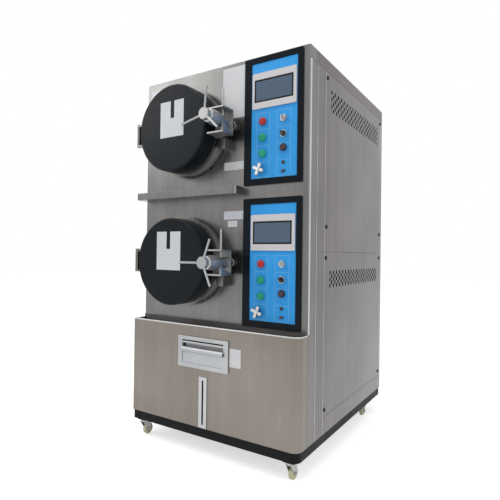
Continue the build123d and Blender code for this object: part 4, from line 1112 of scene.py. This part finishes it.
def makeButtonCaps():
    b = buttonCap
    for name in nodes:
        if not name.startswith("button_") or name == "button_collars":
            continue
        low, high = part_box(name)
        x, z = (low.x + high.x) / 2, (low.z + high.z) / 2
        foot = -low.y - b["proud"]
        r, tall = b["radius"], b["front"] - b["skirt"]
        profile = [
            (0, -high.y), (b["stem"], -high.y), (b["stem"], foot + b["wellBack"]),
            (b["well"], foot + b["wellBack"]),
            (b["well"], foot + b["ceiling"]), (b["inner"], foot + b["ceiling"]),
            (b["inner"], foot + b["rim"]),
            (r, foot + b["rim"]), (r, foot + b["skirt"]),
        ]
        profile += [(r * wide, foot + b["skirt"] + tall * high) for wide, high in b["bulge"]]
        sunk = foot + b["front"] - b["hollow"]
        profile += [(r * b["rimShare"], foot + b["front"]), (r * b["hollowShare"], sunk), (0, sunk)]
        mesh = bmesh.new()
        addTurned(mesh, profile, (x, 0, z), (0, -1, 0), b["sides"])
        piece = finishPiece(
            "domed_" + name, mesh, bodyOfNode[name], finishes[slotOfNode[name]],
        )
        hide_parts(name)


makeButtonCaps()
print("button caps domed")


# four-lobed valve knobs with a domed centre

valveKnob = {
    "reach": 0.0265, "lobe": 0.0078, "waist": 0.0068, "thick": 0.0125, "turn": 22.0,
    "lobeFace": 0.8, "backEdge": 0.0020, "frontEdge": 0.0030, "frontLow": 0.0006,
    "armFront": 0.0015, "armBack": 0.0008, "armRound": 0.0018,
    "cap": 0.0090, "dome": 0.0050, "shoulder": (0.86, 0.6), "crown": 0.4, "stem": 0.0045,
    "sides": 20, "capSides": 28,
}


def makeValveKnobs():
    v = valveKnob
    for deck in decks:
        name = "valve_knob_" + deck
        low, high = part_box(name)
        x, z = (low.x + high.x) / 2, (low.z + high.z) / 2
        front = -low.y
        back = front - v["thick"]
        mesh = bmesh.new()
        for n in range(4):
            lobe = bmesh.new()
            face, reach = v["lobe"] * v["lobeFace"], v["reach"] - v["lobe"]
            profile = [
                (0, back), (face, back), (v["lobe"], back + v["backEdge"]),
                (v["lobe"], front - v["frontEdge"]),
                (face, front - v["frontLow"]), (0, front),
            ]
            addTurned(lobe, profile, (reach, 0, 0), (0, -1, 0), v["sides"])
            near, far = (0, -front + v["armFront"], -v["waist"]), (reach, -back - v["armBack"], v["waist"])
            addBlock(lobe, near, far, v["armRound"])
            turn = Matrix.Rotation(radians(v["turn"] + 90 * n), 4, "Y")
            mergeInto(mesh, lobe, Matrix.Translation((x, 0, z)) @ turn)
        cap, dome, (wide, tall) = v["cap"], v["dome"], v["shoulder"]
        profile = [
            (0, back), (cap, back), (cap, front), (cap * wide, front + dome * tall),
            (cap * v["crown"], front + dome), (0, front + dome),
        ]
        addTurned(mesh, profile, (x, 0, z), (0, -1, 0), v["capSides"])
        profile = [(0, -high.y), (v["stem"], -high.y), (v["stem"], back), (0, back)]
        addTurned(mesh, profile, (x, 0, z), (0, -1, 0), v["sides"])
        piece = finishPiece(
            "lobed_" + name, mesh, bodyOfNode[name], finishes["knobChrome"],
        )
        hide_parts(name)


makeValveKnobs()
print("valve knobs shaped")


# pale panel behind the drawer's lip

recessPanel = {"behind": 0.027, "under": 0.046, "gap": 0.002, "side": 0.004, "thick": 0.0015, "hood": 0.085}


def makeRecessPanel():
    low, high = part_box("fill_drawer")
    r = recessPanel
    y = low.y + r["behind"]
    mesh = bmesh.new()
    addBlock(
        mesh, (low.x + r["side"], y, low.z + r["under"]),
        (high.x - r["side"], y + r["thick"], low.z + r["hood"] - r["gap"]),
    )
    finishPiece("recessPanel", mesh, "fill_drawer", finishes["bezel_grey"])


makeRecessPanel()


# grey-blue faces of the touch screens, set a little in from the glass edge

screenMargin = {"side": 0.007, "high": 0.007, "low": 0.007, "thick": 0.0002}


def makeScreenFaces():
    mesh = bmesh.new()
    for low, high in solidBoxes("screen_glasses"):
        margin = screenMargin
        addBlock(
            mesh, (low.x + margin["side"], low.y - margin["thick"], low.z + margin["low"]),
            (high.x - margin["side"], low.y, high.z - margin["high"]),
        )
    finishPiece("screenFaces", mesh, "cabinet", screenFace)


makeScreenFaces()
print("control panels drawn")


# sight tube behind the slot of the level gauge

sightTube = {"radius": 0.006, "inset": 0.004, "back": 0.012, "sides": 24}


def makeSightTube():
    low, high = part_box("level_gauge")
    x = (low.x + high.x) / 2
    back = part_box("base_shell")[0].y + sightTube["back"]
    mesh = bmesh.new()
    inset = sightTube["inset"]
    length = high.z - low.z - 2 * inset
    radius, foot = sightTube["radius"], (x, back, low.z + inset)
    addTurned(
        mesh, [(0, 0), (radius, 0), (radius, length), (0, length)], foot, (0, 0, 1), sightTube["sides"],
    )
    finishPiece("sightTube", mesh, "cabinet", tubeGlass)


makeSightTube()
print("level gauge glazed")
